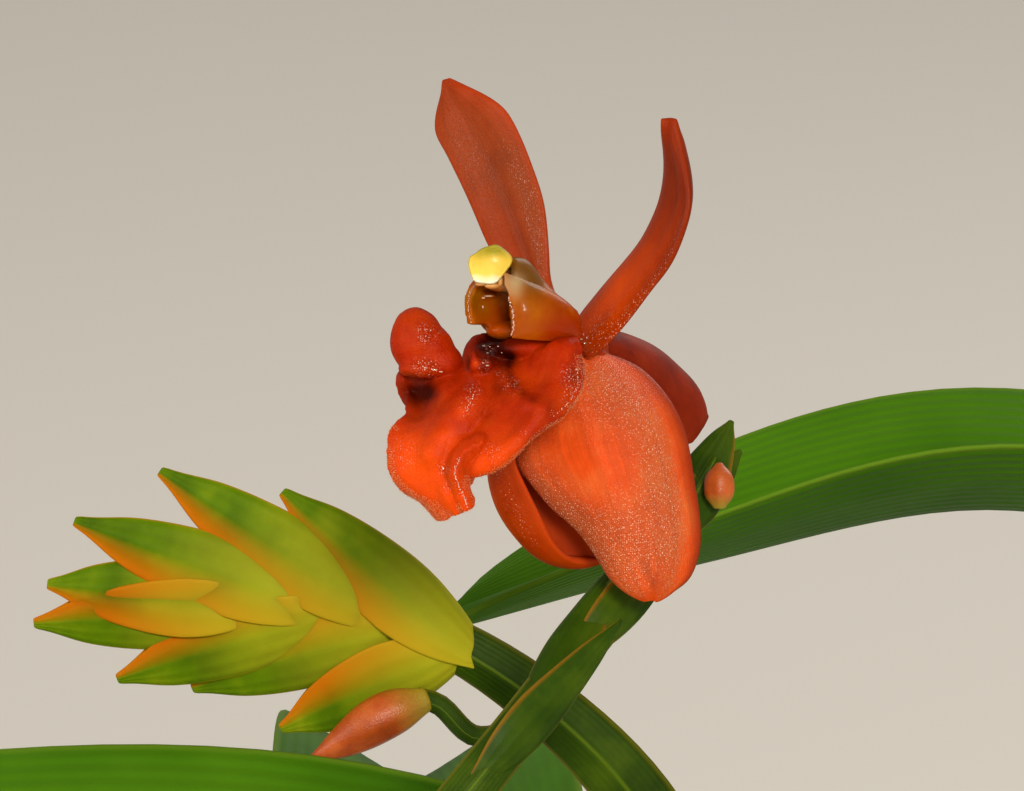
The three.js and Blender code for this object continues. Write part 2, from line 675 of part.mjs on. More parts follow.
// The second spike, which arches left behind the first, with a fan of bracts and a nodding bud.
const fanRoute = [
  [4.2, 14.8, -19],
  [2.9, 13.2, -13.5],
  [1.3, 11.8, -10],
  [-1.4, 11, -7.4],
  [-4.05, 11, -6],
  [-5.8, 11, -5.75],
  [-7.6, 11, -5.7],
];
const fanBracts = [
  [5.5, 10, 5.6],
  [5.2, -53, 4.5],
  [3.6, 14, 6.2],
  [4, -38, 5.2],
  [2.1, 15, 6],
  [2.4, -22, 5.3],
  [0.6, 5, 4.8],
  [0.9, -5, 5.4],
];
const nodding = {
  pedicel: [[-0.9, 11, -8.3], [-2.3, 10.8, -8.6], [-3.1, 10.7, -7.9], [-3.6, 10.6, -7.75]],
  bud: [[-3.3, 10.6, -7.75], [-4.3, 10.5, -8.15], [-5.2, 10.5, -8.7], [-5.9, 10.5, -9.1]],
  budRadii: [0.26, 0.5, 0.52, 0.36, 0.1],
};

function addFanSpike() {
  const frame = front;
  const pedicelLine = lineThrough(placed(frame, nodding.pedicel));
  const thin = () => 0.24;
  const stalklet = stem(pedicelLine, 6, 6, v3(0, 1, 0), thin, thin);
  const budLine = lineThrough(placed(frame, nodding.bud));
  const budRadius = (t) => along(nodding.budRadii, t);
  const bud = stem(budLine, 7, 7, v3(0, 1, 0), budRadius, budRadius);
  const spike = spikeGeometry({
    route: [footOn(growths[1], -1), [15, -4.6, 112], [14, -4, 138], [11, -3.2, 156], ...placed(frame, fanRoute)],
    facing: v3(0, 1, 0),
    steps: 26,
    widths: [1.2, 1, 0.9, 0.9, 1, 1.2, 1.3, 0.6],
    bracts: fanBracts,
    bractWidth: 1,
    extras: [stalklet],
  });
  plant.add(mesh("spike_2", clearOf(spike, bud, flowerGap), finish(colours.stalk, 0.5)));
  plant.add(mesh("spike_2_bud", bud, finish(colours.bud, 0.4)));
}
addFanSpike();

// The back spike, with a second open flower turned to the back.
addBloom(back, 2);
addFlowerSpike(back, 3, footOn(growths[4], -1), [
  [13, 12, 108],
  [17, 17, 130],
  [25, 24, 149],
]);

export default plant;
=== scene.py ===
# A potted orchid in flower: one-leaved pseudobulbs on bark in a clay pot, and flat spikes of orange-red blooms.
# Pieces are shaped in millimetres and then settled into the frame, which is in metres.
import bpy
import math
import random
import numpy as np
from mathutils import Matrix, Vector, noise


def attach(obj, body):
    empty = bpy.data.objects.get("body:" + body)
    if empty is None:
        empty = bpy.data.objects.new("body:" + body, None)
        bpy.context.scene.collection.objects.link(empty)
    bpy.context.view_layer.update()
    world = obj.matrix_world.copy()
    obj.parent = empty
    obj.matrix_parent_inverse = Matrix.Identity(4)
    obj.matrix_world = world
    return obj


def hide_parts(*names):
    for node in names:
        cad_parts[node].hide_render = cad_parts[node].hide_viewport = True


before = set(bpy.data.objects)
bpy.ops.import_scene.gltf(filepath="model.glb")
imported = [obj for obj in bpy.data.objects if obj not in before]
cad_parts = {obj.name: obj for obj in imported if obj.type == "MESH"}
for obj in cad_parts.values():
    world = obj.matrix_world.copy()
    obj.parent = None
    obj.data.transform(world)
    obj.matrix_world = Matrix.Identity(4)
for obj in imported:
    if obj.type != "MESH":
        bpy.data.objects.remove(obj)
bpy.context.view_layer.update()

mm = 0.001


def deselectAll():
    bpy.ops.object.select_all(action="DESELECT")


def makeActive(piece):
    deselectAll()
    piece.select_set(True)
    bpy.context.view_layer.objects.active = piece


def applyModifier(piece, kind, **settings):
    makeActive(piece)
    modifier = piece.modifiers.new("step", kind)
    for name, value in settings.items():
        setattr(modifier, name, value)
    bpy.ops.object.modifier_apply(modifier=modifier.name)


def smoothSurface(piece, levels):
    applyModifier(piece, "SUBSURF", levels=levels, render_levels=levels)


def newPiece(name):
    # the primitive that was just added, under its own name
    piece = bpy.context.object
    piece.name = piece.data.name = name
    return piece


def pickInEdit(piece, kind, picked):
    # edit mode, with only those edges or polygons selected that picked says
    bpy.ops.object.mode_set(mode="EDIT")
    bpy.ops.mesh.select_all(action="DESELECT")
    bpy.ops.object.mode_set(mode="OBJECT")
    for part in getattr(piece.data, kind):
        part.select = picked(part)
    bpy.ops.object.mode_set(mode="EDIT")


def joinPieces(pieces, name):
    makeActive(pieces[0])
    for piece in pieces:
        piece.select_set(True)
    bpy.ops.object.join()
    pieces[0].name = pieces[0].data.name = name
    return pieces[0]


def closeMesh(piece):
    # doubles merged, normals outwards, smooth shading
    makeActive(piece)
    bpy.ops.object.mode_set(mode="EDIT")
    bpy.ops.mesh.select_all(action="SELECT")
    bpy.ops.mesh.remove_doubles(threshold=0.0005)
    bpy.ops.mesh.normals_make_consistent(inside=False)
    bpy.ops.object.mode_set(mode="OBJECT")
    bpy.ops.object.shade_smooth()
    return piece


def settle(piece, matrix=Matrix.Identity(4)):
    # from millimetres to its place in the frame
    piece.data.transform(Matrix.Scale(mm, 4) @ matrix)
    piece.data.update()
    return piece


def declare(piece, slot, *nodes):
    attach(piece, "root")
    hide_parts(*nodes)
    return piece


def unit(vector):
    return vector / np.linalg.norm(vector)


def mix(a, b, t):
    return a + (b - a) * t


def clamp(value):
    return min(1.0, max(0.0, value))


def ease(low, high, value):
    t = clamp((value - low) / (high - low))
    return t * t * (3 - 2 * t)


def curvePoint(points, t):
    # a smooth curve through points, at t from 0 to 1
    count = len(points)
    at = min(max(t, 0.0), 1.0) * (count - 1)
    i = min(int(at), count - 2)
    w = at - i
    p1, p2 = np.asarray(points[i], float), np.asarray(points[i + 1], float)
    p0 = np.asarray(points[i - 1], float) if i > 0 else 2 * p1 - p2
    p3 = np.asarray(points[i + 2], float) if i + 2 < count else 2 * p2 - p1
    k0, k1, k2 = (max(np.linalg.norm(b - a), 1e-6) ** 0.5 for a, b in ((p0, p1), (p1, p2), (p2, p3)))
    m1 = ((p1 - p0) / k0 - (p2 - p0) / (k0 + k1) + (p2 - p1) / k1) * k1
    m2 = ((p2 - p1) / k1 - (p3 - p1) / (k1 + k2) + (p3 - p2) / k2) * k1
    return p1 + w * m1 + w * w * (3 * (p2 - p1) - 2 * m1 - m2) + w ** 3 * (2 * (p1 - p2) + m1 + m2)


class Line:
    # a smooth line through points, read by its length
    def __init__(self, points):
        steps = 14 * (len(points) - 1)
        self.fine = np.array([curvePoint(points, i / steps) for i in range(steps + 1)])
        lengths = np.linalg.norm(np.diff(self.fine, axis=0), axis=1)
        self.length = lengths.sum()
        self.reach = np.concatenate([[0], np.cumsum(lengths)]) / self.length
        self.slopes = np.gradient(self.fine, self.reach, axis=0)

    def at(self, t):
        return np.array([np.interp(t, self.reach, self.fine[:, k]) for k in range(3)])

    def tangent(self, t):
        return unit(np.array([np.interp(t, self.reach, self.slopes[:, k]) for k in range(3)]))


def along(values, t):
    # the value at t of a smooth line through evenly spaced values
    at = clamp(t) * (len(values) - 1)
    i = min(int(at), len(values) - 2)
    w = at - i
    p0, p1, p2 = values[max(i - 1, 0)], values[i], values[i + 1]
    p3 = values[min(i + 2, len(values) - 1)]
    v0, v1 = (p2 - p0) / 2, (p3 - p1) / 2
    return (2 * p1 - 2 * p2 + v0 + v1) * w ** 3 + (3 * p2 - 3 * p1 - 2 * v0 - v1) * w * w + v0 * w + p1


def markPoints(piece, name, values):
    mark = piece.data.attributes.new(name, "FLOAT", "POINT")
    mark.data.foreach_set("value", np.asarray(values, np.float32))


def layGrid(name, rows, columns, surface, thin=None):
    # a grid laid on a surface, whose s runs across and t along; thin gives how thick each place stays
    deselectAll()
    bpy.ops.mesh.primitive_grid_add(x_subdivisions=columns, y_subdivisions=rows, size=2)
    piece = newPiece(name)
    places = [((v.co.x + 1) / 2, (v.co.y + 1) / 2) for v in piece.data.vertices]
    for v, (s, t) in zip(piece.data.vertices, places):
        v.co = surface(s, t)
    markPoints(piece, "across", [2 * s - 1 for s, t in places])
    markPoints(piece, "along", [t for s, t in places])
    if thin:
        group = piece.vertex_groups.new(name="body")
        for v, (s, t) in zip(piece.data.vertices, places):
            group.add([v.index], thin(s, t), "REPLACE")
    return piece


def thicken(piece, thickness, edge=1.0):
    # edge is the share of the thickness left where the body group is empty
    settings = {"vertex_group": "body", "thickness_vertex_group": edge} if piece.vertex_groups else {}
    applyModifier(piece, "SOLIDIFY", thickness=thickness, offset=0, use_quality_normals=True, **settings)


def layTube(name, sides, steps, surface):
    # a cylinder cut into steps lengthways, whose rings follow surface(turn, t)
    deselectAll()
    bpy.ops.mesh.primitive_cylinder_add(vertices=sides, radius=1, depth=2, end_fill_type="NGON")
    piece = newPiece(name)
    heights = [v.co.z for v in piece.data.vertices]
    pickInEdit(piece, "edges", lambda edge: abs(heights[edge.vertices[0]] - heights[edge.vertices[1]]) > 1)
    bpy.ops.mesh.select_mode(type="EDGE")
    bpy.ops.mesh.subdivide(number_cuts=steps - 1)
    bpy.ops.object.mode_set(mode="OBJECT")
    places = [(math.atan2(v.co.y, v.co.x), (v.co.z + 1) / 2) for v in piece.data.vertices]
    for v, (turn, t) in zip(piece.data.vertices, places):
        v.co = surface(turn, t)
    markPoints(piece, "across", [math.cos(turn) for turn, t in places])
    markPoints(piece, "along", [t for turn, t in places])
    return piece


def bladeFrame(line, t, across):
    tangent = line.tangent(min(t, 0.995))
    side = unit(across - tangent * across.dot(tangent))
    return side, unit(np.cross(side, tangent)), tangent


def stemFrame(line, t, facing):
    tangent = line.tangent(min(t, 0.995))
    face = unit(facing - tangent * facing.dot(tangent))
    return unit(np.cross(face, tangent)), face, tangent


def stemPoint(line, turn, t, radius, facing=(0.0, 1.0, 0.0)):
    # a place on the skin of a round stem that follows a line
    side, face, tangent = stemFrame(line, t, np.array(facing))
    return Vector(line.at(t) + side * math.cos(turn) * radius + face * math.sin(turn) * radius)


def colour(hexValue):
    # an sRGB hex value as a linear colour
    parts = [int(hexValue[i:i + 2], 16) / 255 for i in (1, 3, 5)]
    return (*[c / 12.92 if c <= 0.04045 else ((c + 0.055) / 1.055) ** 2.4 for c in parts], 1.0)


def addNode(tree, kind, inputs={}, stops=None, **settings):
    # a node with its settings and links; an input is a value or the socket that feeds it
    node = tree.nodes.new("ShaderNode" + kind)
    for name, value in settings.items():
        setattr(node, name, value)
    for name, value in inputs.items():
        if isinstance(value, bpy.types.NodeSocket):
            tree.links.new(value, node.inputs[name])
        else:
            node.inputs[name].default_value = value
    if stops:
        elements = node.color_ramp.elements
        while len(elements) < len(stops):
            elements.new(0.5)
        for element, (position, value) in zip(elements, stops):
            element.position = position
            element.color = colour(value) if isinstance(value, str) else (value, value, value, 1)
    return node


def newMaterial(name):
    material = bpy.data.materials.new(name)
    material.use_nodes = True
    tree = material.node_tree
    tree.nodes.clear()
    return material, tree, addNode(tree, "TexCoord").outputs["Object"]


def withShader(material, inputs):
    shader = addNode(material.node_tree, "BsdfPrincipled", inputs)
    addNode(material.node_tree, "OutputMaterial", {"Surface": shader.outputs[0]})
    return material


def perMetre(millimetres):
    # a pattern's scale from its real size
    return 1000 / millimetres


# Living flower tissue: a waxy skin over juicy cells, which lets light through and glitters where each domed cell
# catches the light; its glitter, the light and shade at its rims and the shade in its hollows are painted into the
# colour. Its cells, and a bud's, are drawn coarser than real ones, so that they show.
tissue = {
    "mottle": 1.1,  # mm from one patch of colour to the next
    "depth": 0.14,  # mm that red light travels inside
}


def flowerTissue(name, body, deep, pale, rim, glint="#f3b597", glintShare=0.35, ash=None, cell=0.045, lumps=0.3,
                 gloss=0.12, roughness=0.46, veins=0.4):
    # glint is the painted highlight of the cells that catch the light, glintShare how many do, ash for the skin
    # between them
    material, tree, place = newMaterial(name)
    mottle = addNode(tree, "TexNoise", {"Vector": place, "Scale": perMetre(tissue["mottle"]), "Detail": 4.0,
                                        "Roughness": 0.6}).outputs["Fac"]
    ground = addNode(tree, "ValToRGB", {"Fac": mottle}, stops=[(0.3, deep), (0.5, body), (0.74, pale)]).outputs[0]
    across, along, shade, warm, glintMark = [
        addNode(tree, "Attribute", attribute_name=mark).outputs["Fac"]
        for mark in ("across", "along", "shade", "warm", "glint")]
    # faint veins that run with the piece
    wide = addNode(tree, "Math", {0: across, 1: 14.0}, operation="MULTIPLY").outputs[0]
    long = addNode(tree, "Math", {0: along, 1: 2.2}, operation="MULTIPLY").outputs[0]
    fibres = addNode(tree, "CombineXYZ", {"X": wide, "Y": long})
    streaks = addNode(tree, "TexNoise", {"Vector": fibres.outputs[0], "Scale": 1.0, "Detail": 2.0}).outputs["Fac"]
    streakTone = addNode(tree, "ValToRGB", {"Fac": streaks}, stops=[(0.35, 0.78), (0.65, 1.0)]).outputs[0]
    veined = addNode(tree, "Mix", {0: veins, 6: ground, 7: streakTone}, data_type="RGBA", blend_type="MULTIPLY")
    # cells: domed in relief, and some of them painted pale as highlights where the glint mark is strong
    cells = addNode(tree, "TexVoronoi", {"Vector": place, "Scale": perMetre(cell), "Randomness": 0.9}, feature="F1")
    tones = addNode(tree, "SeparateColor", {0: cells.outputs["Color"]})
    strength = addNode(tree, "Math", {0: tones.outputs[0], 1: glintMark}, operation="MULTIPLY")
    chosen = addNode(tree, "MapRange", {"Value": strength.outputs[0], "From Min": 1 - glintShare,
                                        "From Max": 1 - glintShare * 0.1})
    centre = addNode(tree, "ValToRGB", {"Fac": cells.outputs["Distance"]}, stops=[(0.12, 1.0), (0.42, 0.0)])
    glintFactor = addNode(tree, "Math", {0: chosen.outputs[0], 1: centre.outputs[0]}, operation="MULTIPLY")
    # the skin between the glinting cells looks duller
    dull = addNode(tree, "Math", {0: glintMark, 1: 0.5 if ash else 0.0}, operation="MULTIPLY")
    # painted light and shade laid over the ground: painted shade where the shade mark is, in hollows, creases and
    # parts turned from the light, with a few darker streaks of the tissue's own; then the rim tone where the warm
    # mark is: a painted glow through thin edges on most tissues, painted shade at the rolled edge of the near sepal,
    # and on the lip also its own orange; then the duller skin, and last the painted highlights of the glinting cells
    tone = veined.outputs[2]
    for mask, tint in ((shade, "#360400"), (warm, rim), (dull.outputs[0], ash or body),
                       (glintFactor.outputs[0], glint)):
        tone = addNode(tree, "Mix", {0: mask, 6: tone, 7: colour(tint)}, data_type="RGBA").outputs[2]
    skin = addNode(tree, "MapRange", {"Value": glintMark, "To Min": roughness, "To Max": 0.2})
    dome = addNode(tree, "Math", {0: 1.0, 1: cells.outputs["Distance"]}, operation="SUBTRACT")
    glinting = addNode(tree, "Math", {0: glintMark, 1: 0.8}, operation="MULTIPLY")
    rough = addNode(tree, "Math", {0: glinting.outputs[0], 1: 0.25}, operation="ADD")
    force = addNode(tree, "Math", {0: rough.outputs[0], 1: lumps}, operation="MULTIPLY")
    relief = addNode(tree, "Bump", {"Height": dome.outputs[0], "Strength": force.outputs[0], "Distance": 0.03 * mm})
    wave = addNode(tree, "Bump", {"Height": mottle, "Strength": 0.2, "Distance": 0.1 * mm,
                                  "Normal": relief.outputs[0]})
    return withShader(material, {
        "Base Color": tone,
        "Roughness": skin.outputs[0],
        "IOR": 1.42,
        "Specular IOR Level": gloss,
        "Subsurface Weight": 0.35,
        "Subsurface Radius": (1.0, 0.32, 0.12),
        "Subsurface Scale": tissue["depth"] * mm,
        "Normal": wave.outputs[0],
    })


# Each piece has its own tint, partly the flower's own colours and partly painted light and shade: the near sepal's
# bright salmon is partly painted light, and the dorsal sepal's deep red is partly painted shade
petalTissue = flowerTissue("petal tissue, brick red", "#9c3202", "#8c2a00", "#a83c12", "#b83604", glint="#cc9080",
                           glintShare=0.5, ash="#884a28", lumps=0.4, roughness=0.5, veins=0.8)
strapTissue = flowerTissue("petal tissue, orange red", "#a63200", "#962a00", "#b23a04", "#cc4606", glintShare=0.6)
sepalTissue = flowerTissue("sepal tissue, salmon orange", "#ee540c", "#d84204", "#f2702e", "#902602", glint="#ffccaa",
                           glintShare=0.85, ash="#b4603a", cell=0.042, lumps=1.0, gloss=0.15, roughness=0.44,
                           veins=0.85)
shadeTissue = flowerTissue("sepal tissue, deep red", "#8c2200", "#701800", "#9a2e04", "#9c2802", glintShare=0.25,
                           roughness=0.55)
lipTissue = flowerTissue("lip tissue, velvet red", "#aa2600", "#881900", "#c03a04", "#ea4e06", glint="#ffd2c2",
                         glintShare=0.85, cell=0.046, lumps=1.0, gloss=0.1, roughness=0.45, veins=0.1)

# Three finishes of parts under half a millimetre, too small for a pattern to show. Papillae: pale, almost clear
# fingers of the lip's margin. Wet film: drops of the flower's own fluid, coloured pale as painted glints. Pollinia:
# soft amber wax.
papillaSkin = withShader(newMaterial("papillae, pale orange")[0], {
    "Base Color": colour("#ff8c5a"), "Roughness": 0.4, "IOR": 1.42, "Subsurface Weight": 0.4,
    "Subsurface Radius": (1.0, 0.4, 0.2), "Subsurface Scale": 0.1 * mm})
wetFilm = withShader(newMaterial("wet film, pale drops as painted glints")[0], {
    "Base Color": colour("#ffdcc4"), "Roughness": 0.05, "IOR": 1.34, "Transmission Weight": 0.55,
    "Coat Weight": 1.0, "Coat Roughness": 0.03})
pollenWax = withShader(newMaterial("pollinia, amber wax")[0], {
    "Base Color": colour("#cc9450"), "Roughness": 0.35, "IOR": 1.44, "Subsurface Weight": 0.5,
    "Subsurface Radius": (1.0, 0.7, 0.3), "Subsurface Scale": 0.1 * mm})


def columnTissue():
    # Column tissue: clear amber jelly with a wet skin, olive towards the top
    material, tree, place = newMaterial("column tissue, amber jelly")
    cloud = addNode(tree, "TexNoise", {"Vector": place, "Scale": perMetre(0.7), "Detail": 3.0}).outputs["Fac"]
    ground = addNode(tree, "ValToRGB", {"Fac": cloud},
                     stops=[(0.3, "#923a02"), (0.55, "#a85202"), (0.75, "#b86c06")]).outputs[0]
    olive, pale, deep = [addNode(tree, "Attribute", attribute_name=mark).outputs["Fac"]
                         for mark in ("along", "warm", "shade")]
    fine = addNode(tree, "TexNoise", {"Vector": place, "Scale": perMetre(0.16), "Detail": 2.0})
    relief = addNode(tree, "Bump", {"Height": fine.outputs["Fac"], "Strength": 0.25, "Distance": 0.03 * mm})
    # the deep tone is painted shade inside the hood and at the foot of the wing, and also the wing back's own deeper
    # red
    for mask, tint in ((olive, "#744800"), (pale, "#b0946a"), (deep, "#9c2e00")):
        ground = addNode(tree, "Mix", {0: mask, 6: ground, 7: colour(tint)}, data_type="RGBA").outputs[2]
    return withShader(material, {
        "Base Color": ground,
        "Roughness": 0.4,
        "IOR": 1.38,
        "Specular IOR Level": 0.08,
        "Transmission Weight": 0.03,
        "Subsurface Weight": 0.6,
        "Subsurface Radius": (1.0, 0.55, 0.15),
        "Subsurface Scale": 0.4 * mm,
        "Coat Weight": 0.12,
        "Coat Roughness": 0.06,
        "Normal": relief.outputs[0],
    })


def capTissue():
    # Anther cap: soft yellow wax, olive at the top and nearly white where it is thin below
    material, tree, place = newMaterial("anther cap, yellow wax")
    height = addNode(tree, "Attribute", attribute_name="along").outputs["Fac"]
    cloud = addNode(tree, "TexNoise", {"Vector": place, "Scale": perMetre(0.3), "Detail": 2.0})
    faint = addNode(tree, "Math", {0: cloud.outputs["Fac"], 1: 0.3}, operation="MULTIPLY")
    level = addNode(tree, "Math", {0: height, 1: faint.outputs[0]}, operation="ADD")
    ground = addNode(tree, "ValToRGB", {"Fac": level.outputs[0]},
                     stops=[(0.2, "#f6f0cc"), (0.4, "#eccf56"), (0.74, "#dcb83c"), (1.0, "#9c901c")])
    return withShader(material, {
        "Base Color": ground.outputs[0],
        "Roughness": 0.5,
        "IOR": 1.44,
        "Specular IOR Level": 0.3,
        "Subsurface Weight": 0.5,
        "Subsurface Radius": (1.0, 0.8, 0.3),
        "Subsurface Scale": 0.25 * mm,
        "Coat Weight": 0.08,
        "Coat Roughness": 0.15,
    })


def greenBlade(name, body, deep, pale, midrib, margin, veins, veinStrength=0.06, roughness=0.5, marginWidth=0.06,
               flush=None, gloss=0.12):
    # Leaf and bract blades: a glossy cuticle over parallel veins, a paler midrib and a thin coloured margin
    material, tree, place = newMaterial(name)
    large = veins > 9  # a leaf, whose patterns are coarser than a bract's
    cloud = addNode(tree, "TexNoise", {"Vector": place, "Scale": perMetre(9.0 if large else 1.3),
                                       "Detail": 4.0}).outputs["Fac"]
    ground = addNode(tree, "ValToRGB", {"Fac": cloud}, stops=[(0.32, deep), (0.52, body), (0.72, pale)]).outputs[0]
    across, along = [addNode(tree, "Attribute", attribute_name=mark).outputs["Fac"] for mark in ("across", "along")]
    out = addNode(tree, "Math", {0: across}, operation="ABSOLUTE").outputs[0]
    turns = addNode(tree, "Math", {0: across, 1: veins * 2 * math.pi}, operation="MULTIPLY")
    rows = addNode(tree, "Math", {0: turns.outputs[0]}, operation="COSINE").outputs[0]
    veinTone = addNode(tree, "ValToRGB", {"Fac": rows}, stops=[(0.0, 1.0), (0.9, 1 - veinStrength)])
    veined = addNode(tree, "Mix", {0: 1.0, 6: ground, 7: veinTone.outputs[0]}, data_type="RGBA",
                     blend_type="MULTIPLY")
    rib = addNode(tree, "ValToRGB", {"Fac": out}, stops=[(0.0, 1.0), (0.09, 0.0)])
    rim = addNode(tree, "ValToRGB", {"Fac": out}, stops=[(1 - marginWidth * 2.5, 0.0), (1 - marginWidth * 0.5, 1.0)])
    layers = [(rib.outputs[0], midrib), (rim.outputs[0], margin)]
    if flush:
        lower = addNode(tree, "ValToRGB", {"Fac": along}, stops=[(0.05, 1.0), (0.72, 0.0)])
        layers.append((lower.outputs[0], flush))
    # the grain of the skin, also coarser than the real one
    grain = addNode(tree, "TexNoise", {"Vector": place, "Scale": perMetre(0.14), "Detail": 2.0})
    skin = addNode(tree, "Bump", {"Height": grain.outputs["Fac"], "Strength": 0.18, "Distance": 0.03 * mm})
    relief = addNode(tree, "Bump", {"Height": rows, "Strength": 0.3, "Distance": (0.04 if large else 0.015) * mm,
                                    "Normal": skin.outputs[0]})
    tone = veined.outputs[2]
    for mask, tint in layers:
        tone = addNode(tree, "Mix", {0: mask, 6: tone, 7: colour(tint)}, data_type="RGBA").outputs[2]
    return withShader(material, {
        "Base Color": tone,
        "Roughness": roughness,
        "IOR": 1.45,
        "Specular IOR Level": gloss,
        "Subsurface Weight": 0.2,
        "Subsurface Radius": (0.5, 1.0, 0.2),
        "Subsurface Scale": 0.3 * mm,
        "Normal": relief.outputs[0],
    })


leafCuticle = greenBlade("leaf, glossy green cuticle", "#3f6e08", "#2e5806", "#508010", "#5c861a", "#587818", 13,
                         veinStrength=0.03, marginWidth=0.02, gloss=0.05)
bractSkin = greenBlade("bract, folded green with ochre edge", "#2c4602", "#223802", "#425806", "#6e6412", "#78540e",
                       5, marginWidth=0.035)
fanSkin = greenBlade("bract, fresh green with orange keel", "#5a7802", "#446202", "#7e8e0c", "#b07c06", "#b86602", 5,
                     roughness=0.55, marginWidth=0.15, flush="#b2ac20", gloss=0.06)
stalkSkin = greenBlade("stalk, smooth green", "#2e4602", "#223802", "#425806", "#546a0c", "#5e5c0e", 6)


def budTissue():
    # Flower bud: firm orange tissue, green where it joins its stalk
    material, tree, place = newMaterial("bud tissue, orange")
    cloud = addNode(tree, "TexNoise", {"Vector": place, "Scale": perMetre(0.6), "Detail": 3.0}).outputs["Fac"]
    ground = addNode(tree, "ValToRGB", {"Fac": cloud},
                     stops=[(0.3, "#983c0a"), (0.5, "#ac4a12"), (0.72, "#bf5e22")]).outputs[0]
    footMark = addNode(tree, "Attribute", attribute_name="along").outputs["Fac"]
    foot = addNode(tree, "ValToRGB", {"Fac": footMark}, stops=[(0.04, 1.0), (0.34, 0.0)])
    tone = addNode(tree, "Mix", {0: foot.outputs[0], 6: ground, 7: colour("#9a8420")}, data_type="RGBA")
    cells = addNode(tree, "TexVoronoi", {"Vector": place, "Scale": perMetre(0.045)}, feature="F1")
    relief = addNode(tree, "Bump", {"Height": cells.outputs["Distance"], "Strength": 0.35, "Distance": 0.02 * mm})
    return withShader(material, {
        "Base Color": tone.outputs[2],
        "Roughness": 0.4,
        "IOR": 1.42,
        "Subsurface Weight": 0.3,
        "Subsurface Radius": (1.0, 0.35, 0.12),
        "Subsurface Scale": 0.35 * mm,
        "Normal": relief.outputs[0],
    })


columnSkin = columnTissue()
capWax = capTissue()
budSkin = budTissue()
print("flower materials made")

# Camera and light, as the close-up was taken: level with the flower and tilted 12 degrees down
view = {
    "tilt": 12,
    "heart": (4, -14, 186),  # mm, the heart of the front flower
    "pixel": (582, 345),  # where the heart lies in a picture of 1024 by 791
    "size": (1024, 791),
    "mmPerPixel": 0.0212,
    "distance": 250,
}


def flowerPlace(heart, turn):
    # a flower stands in its own frame, leaning as the camera does
    upright = Matrix.Translation(heart) @ Matrix.Rotation(math.radians(turn), 4, "Z")
    return upright @ Matrix.Rotation(math.radians(-view["tilt"]), 4, "X")


frontPlace = flowerPlace(view["heart"], 0)
backPlace = flowerPlace((31, 30, 168), 160)


def makeCamera():
    right, away, up = (frontPlace.to_3x3().col[k] for k in range(3))
    dx = (view["pixel"][0] - view["size"][0] / 2) * view["mmPerPixel"]
    dz = (view["size"][1] / 2 - view["pixel"][1]) * view["mmPerPixel"]
    eye = Vector(view["heart"]) - away * view["distance"] - right * dx - up * dz
    camera = bpy.data.cameras.new("camera")
    camera.sensor_width = 36
    camera.lens = 36 * view["distance"] / (view["size"][0] * view["mmPerPixel"])
    camera.clip_start = 0.02
    camera.clip_end = 60
    holder = bpy.data.objects.new("camera", camera)
    bpy.context.scene.collection.objects.link(holder)
    holder.location = eye * mm
    holder.rotation_euler = (math.radians(90 - view["tilt"]), 0, 0)
    bpy.context.scene.camera = holder


def addLight(name, place, size, power, tint):
    lamp = bpy.data.lights.new(name, "AREA")
    lamp.shape = "DISK"
    lamp.size = size
    lamp.energy = power
    lamp.color = tint
    holder = bpy.data.objects.new(name, lamp)
    bpy.context.scene.collection.objects.link(holder)
    holder.location = place
    holder.rotation_euler = (Vector(stage["target"]) - Vector(place)).to_track_quat("-Z", "Y").to_euler()


stage = {
    "floorRadius": 8.0,
    "floorTones": [(0.3, "#ece8e0"), (0.7, "#efebe4")],
    "world": ("#f2ece2", 0.43),
    "target": (0.0, -0.01, 0.185),  # the flowers, which the lamps are turned to
    # lamps: name, place, size, watts, tint
    "lamps": [
        ("key", (0.16, -1.05, 0.6), 0.25, 9.8, (1, 0.93, 0.83)),
        ("fill", (-0.9, -0.55, 0.5), 0.4, 4.2, (1, 0.95, 0.88)),
        ("rim", (0.5, 0.8, 0.7), 0.5, 3.0, (1, 0.95, 0.88)),
    ],
}


def makeStage():
    deselectAll()
    bpy.ops.mesh.primitive_circle_add(vertices=96, radius=stage["floorRadius"], fill_type="TRIFAN",
                                      location=(0, 0, 0))
    floor = bpy.context.object
    floor.name = "floor"
    material, tree, place = newMaterial("floor, pale paper")
    cloud = addNode(tree, "TexNoise", {"Vector": place, "Scale": 3.0, "Detail": 2.0}).outputs["Fac"]
    ground = addNode(tree, "ValToRGB", {"Fac": cloud}, stops=stage["floorTones"]).outputs[0]
    floor.data.materials.append(withShader(material, {"Base Color": ground, "Roughness": 0.9, "IOR": 1.4}))
    world = bpy.data.worlds.new("studio")
    world.use_nodes = True
    background = world.node_tree.nodes["Background"].inputs
    background["Color"].default_value = colour(stage["world"][0])
    background["Strength"].default_value = stage["world"][1]
    bpy.context.scene.world = world
    for lamp in stage["lamps"]:
        addLight(*lamp)


makeCamera()
makeStage()
bpy.context.scene.view_settings.view_transform = "Standard"
print("camera and stage set")

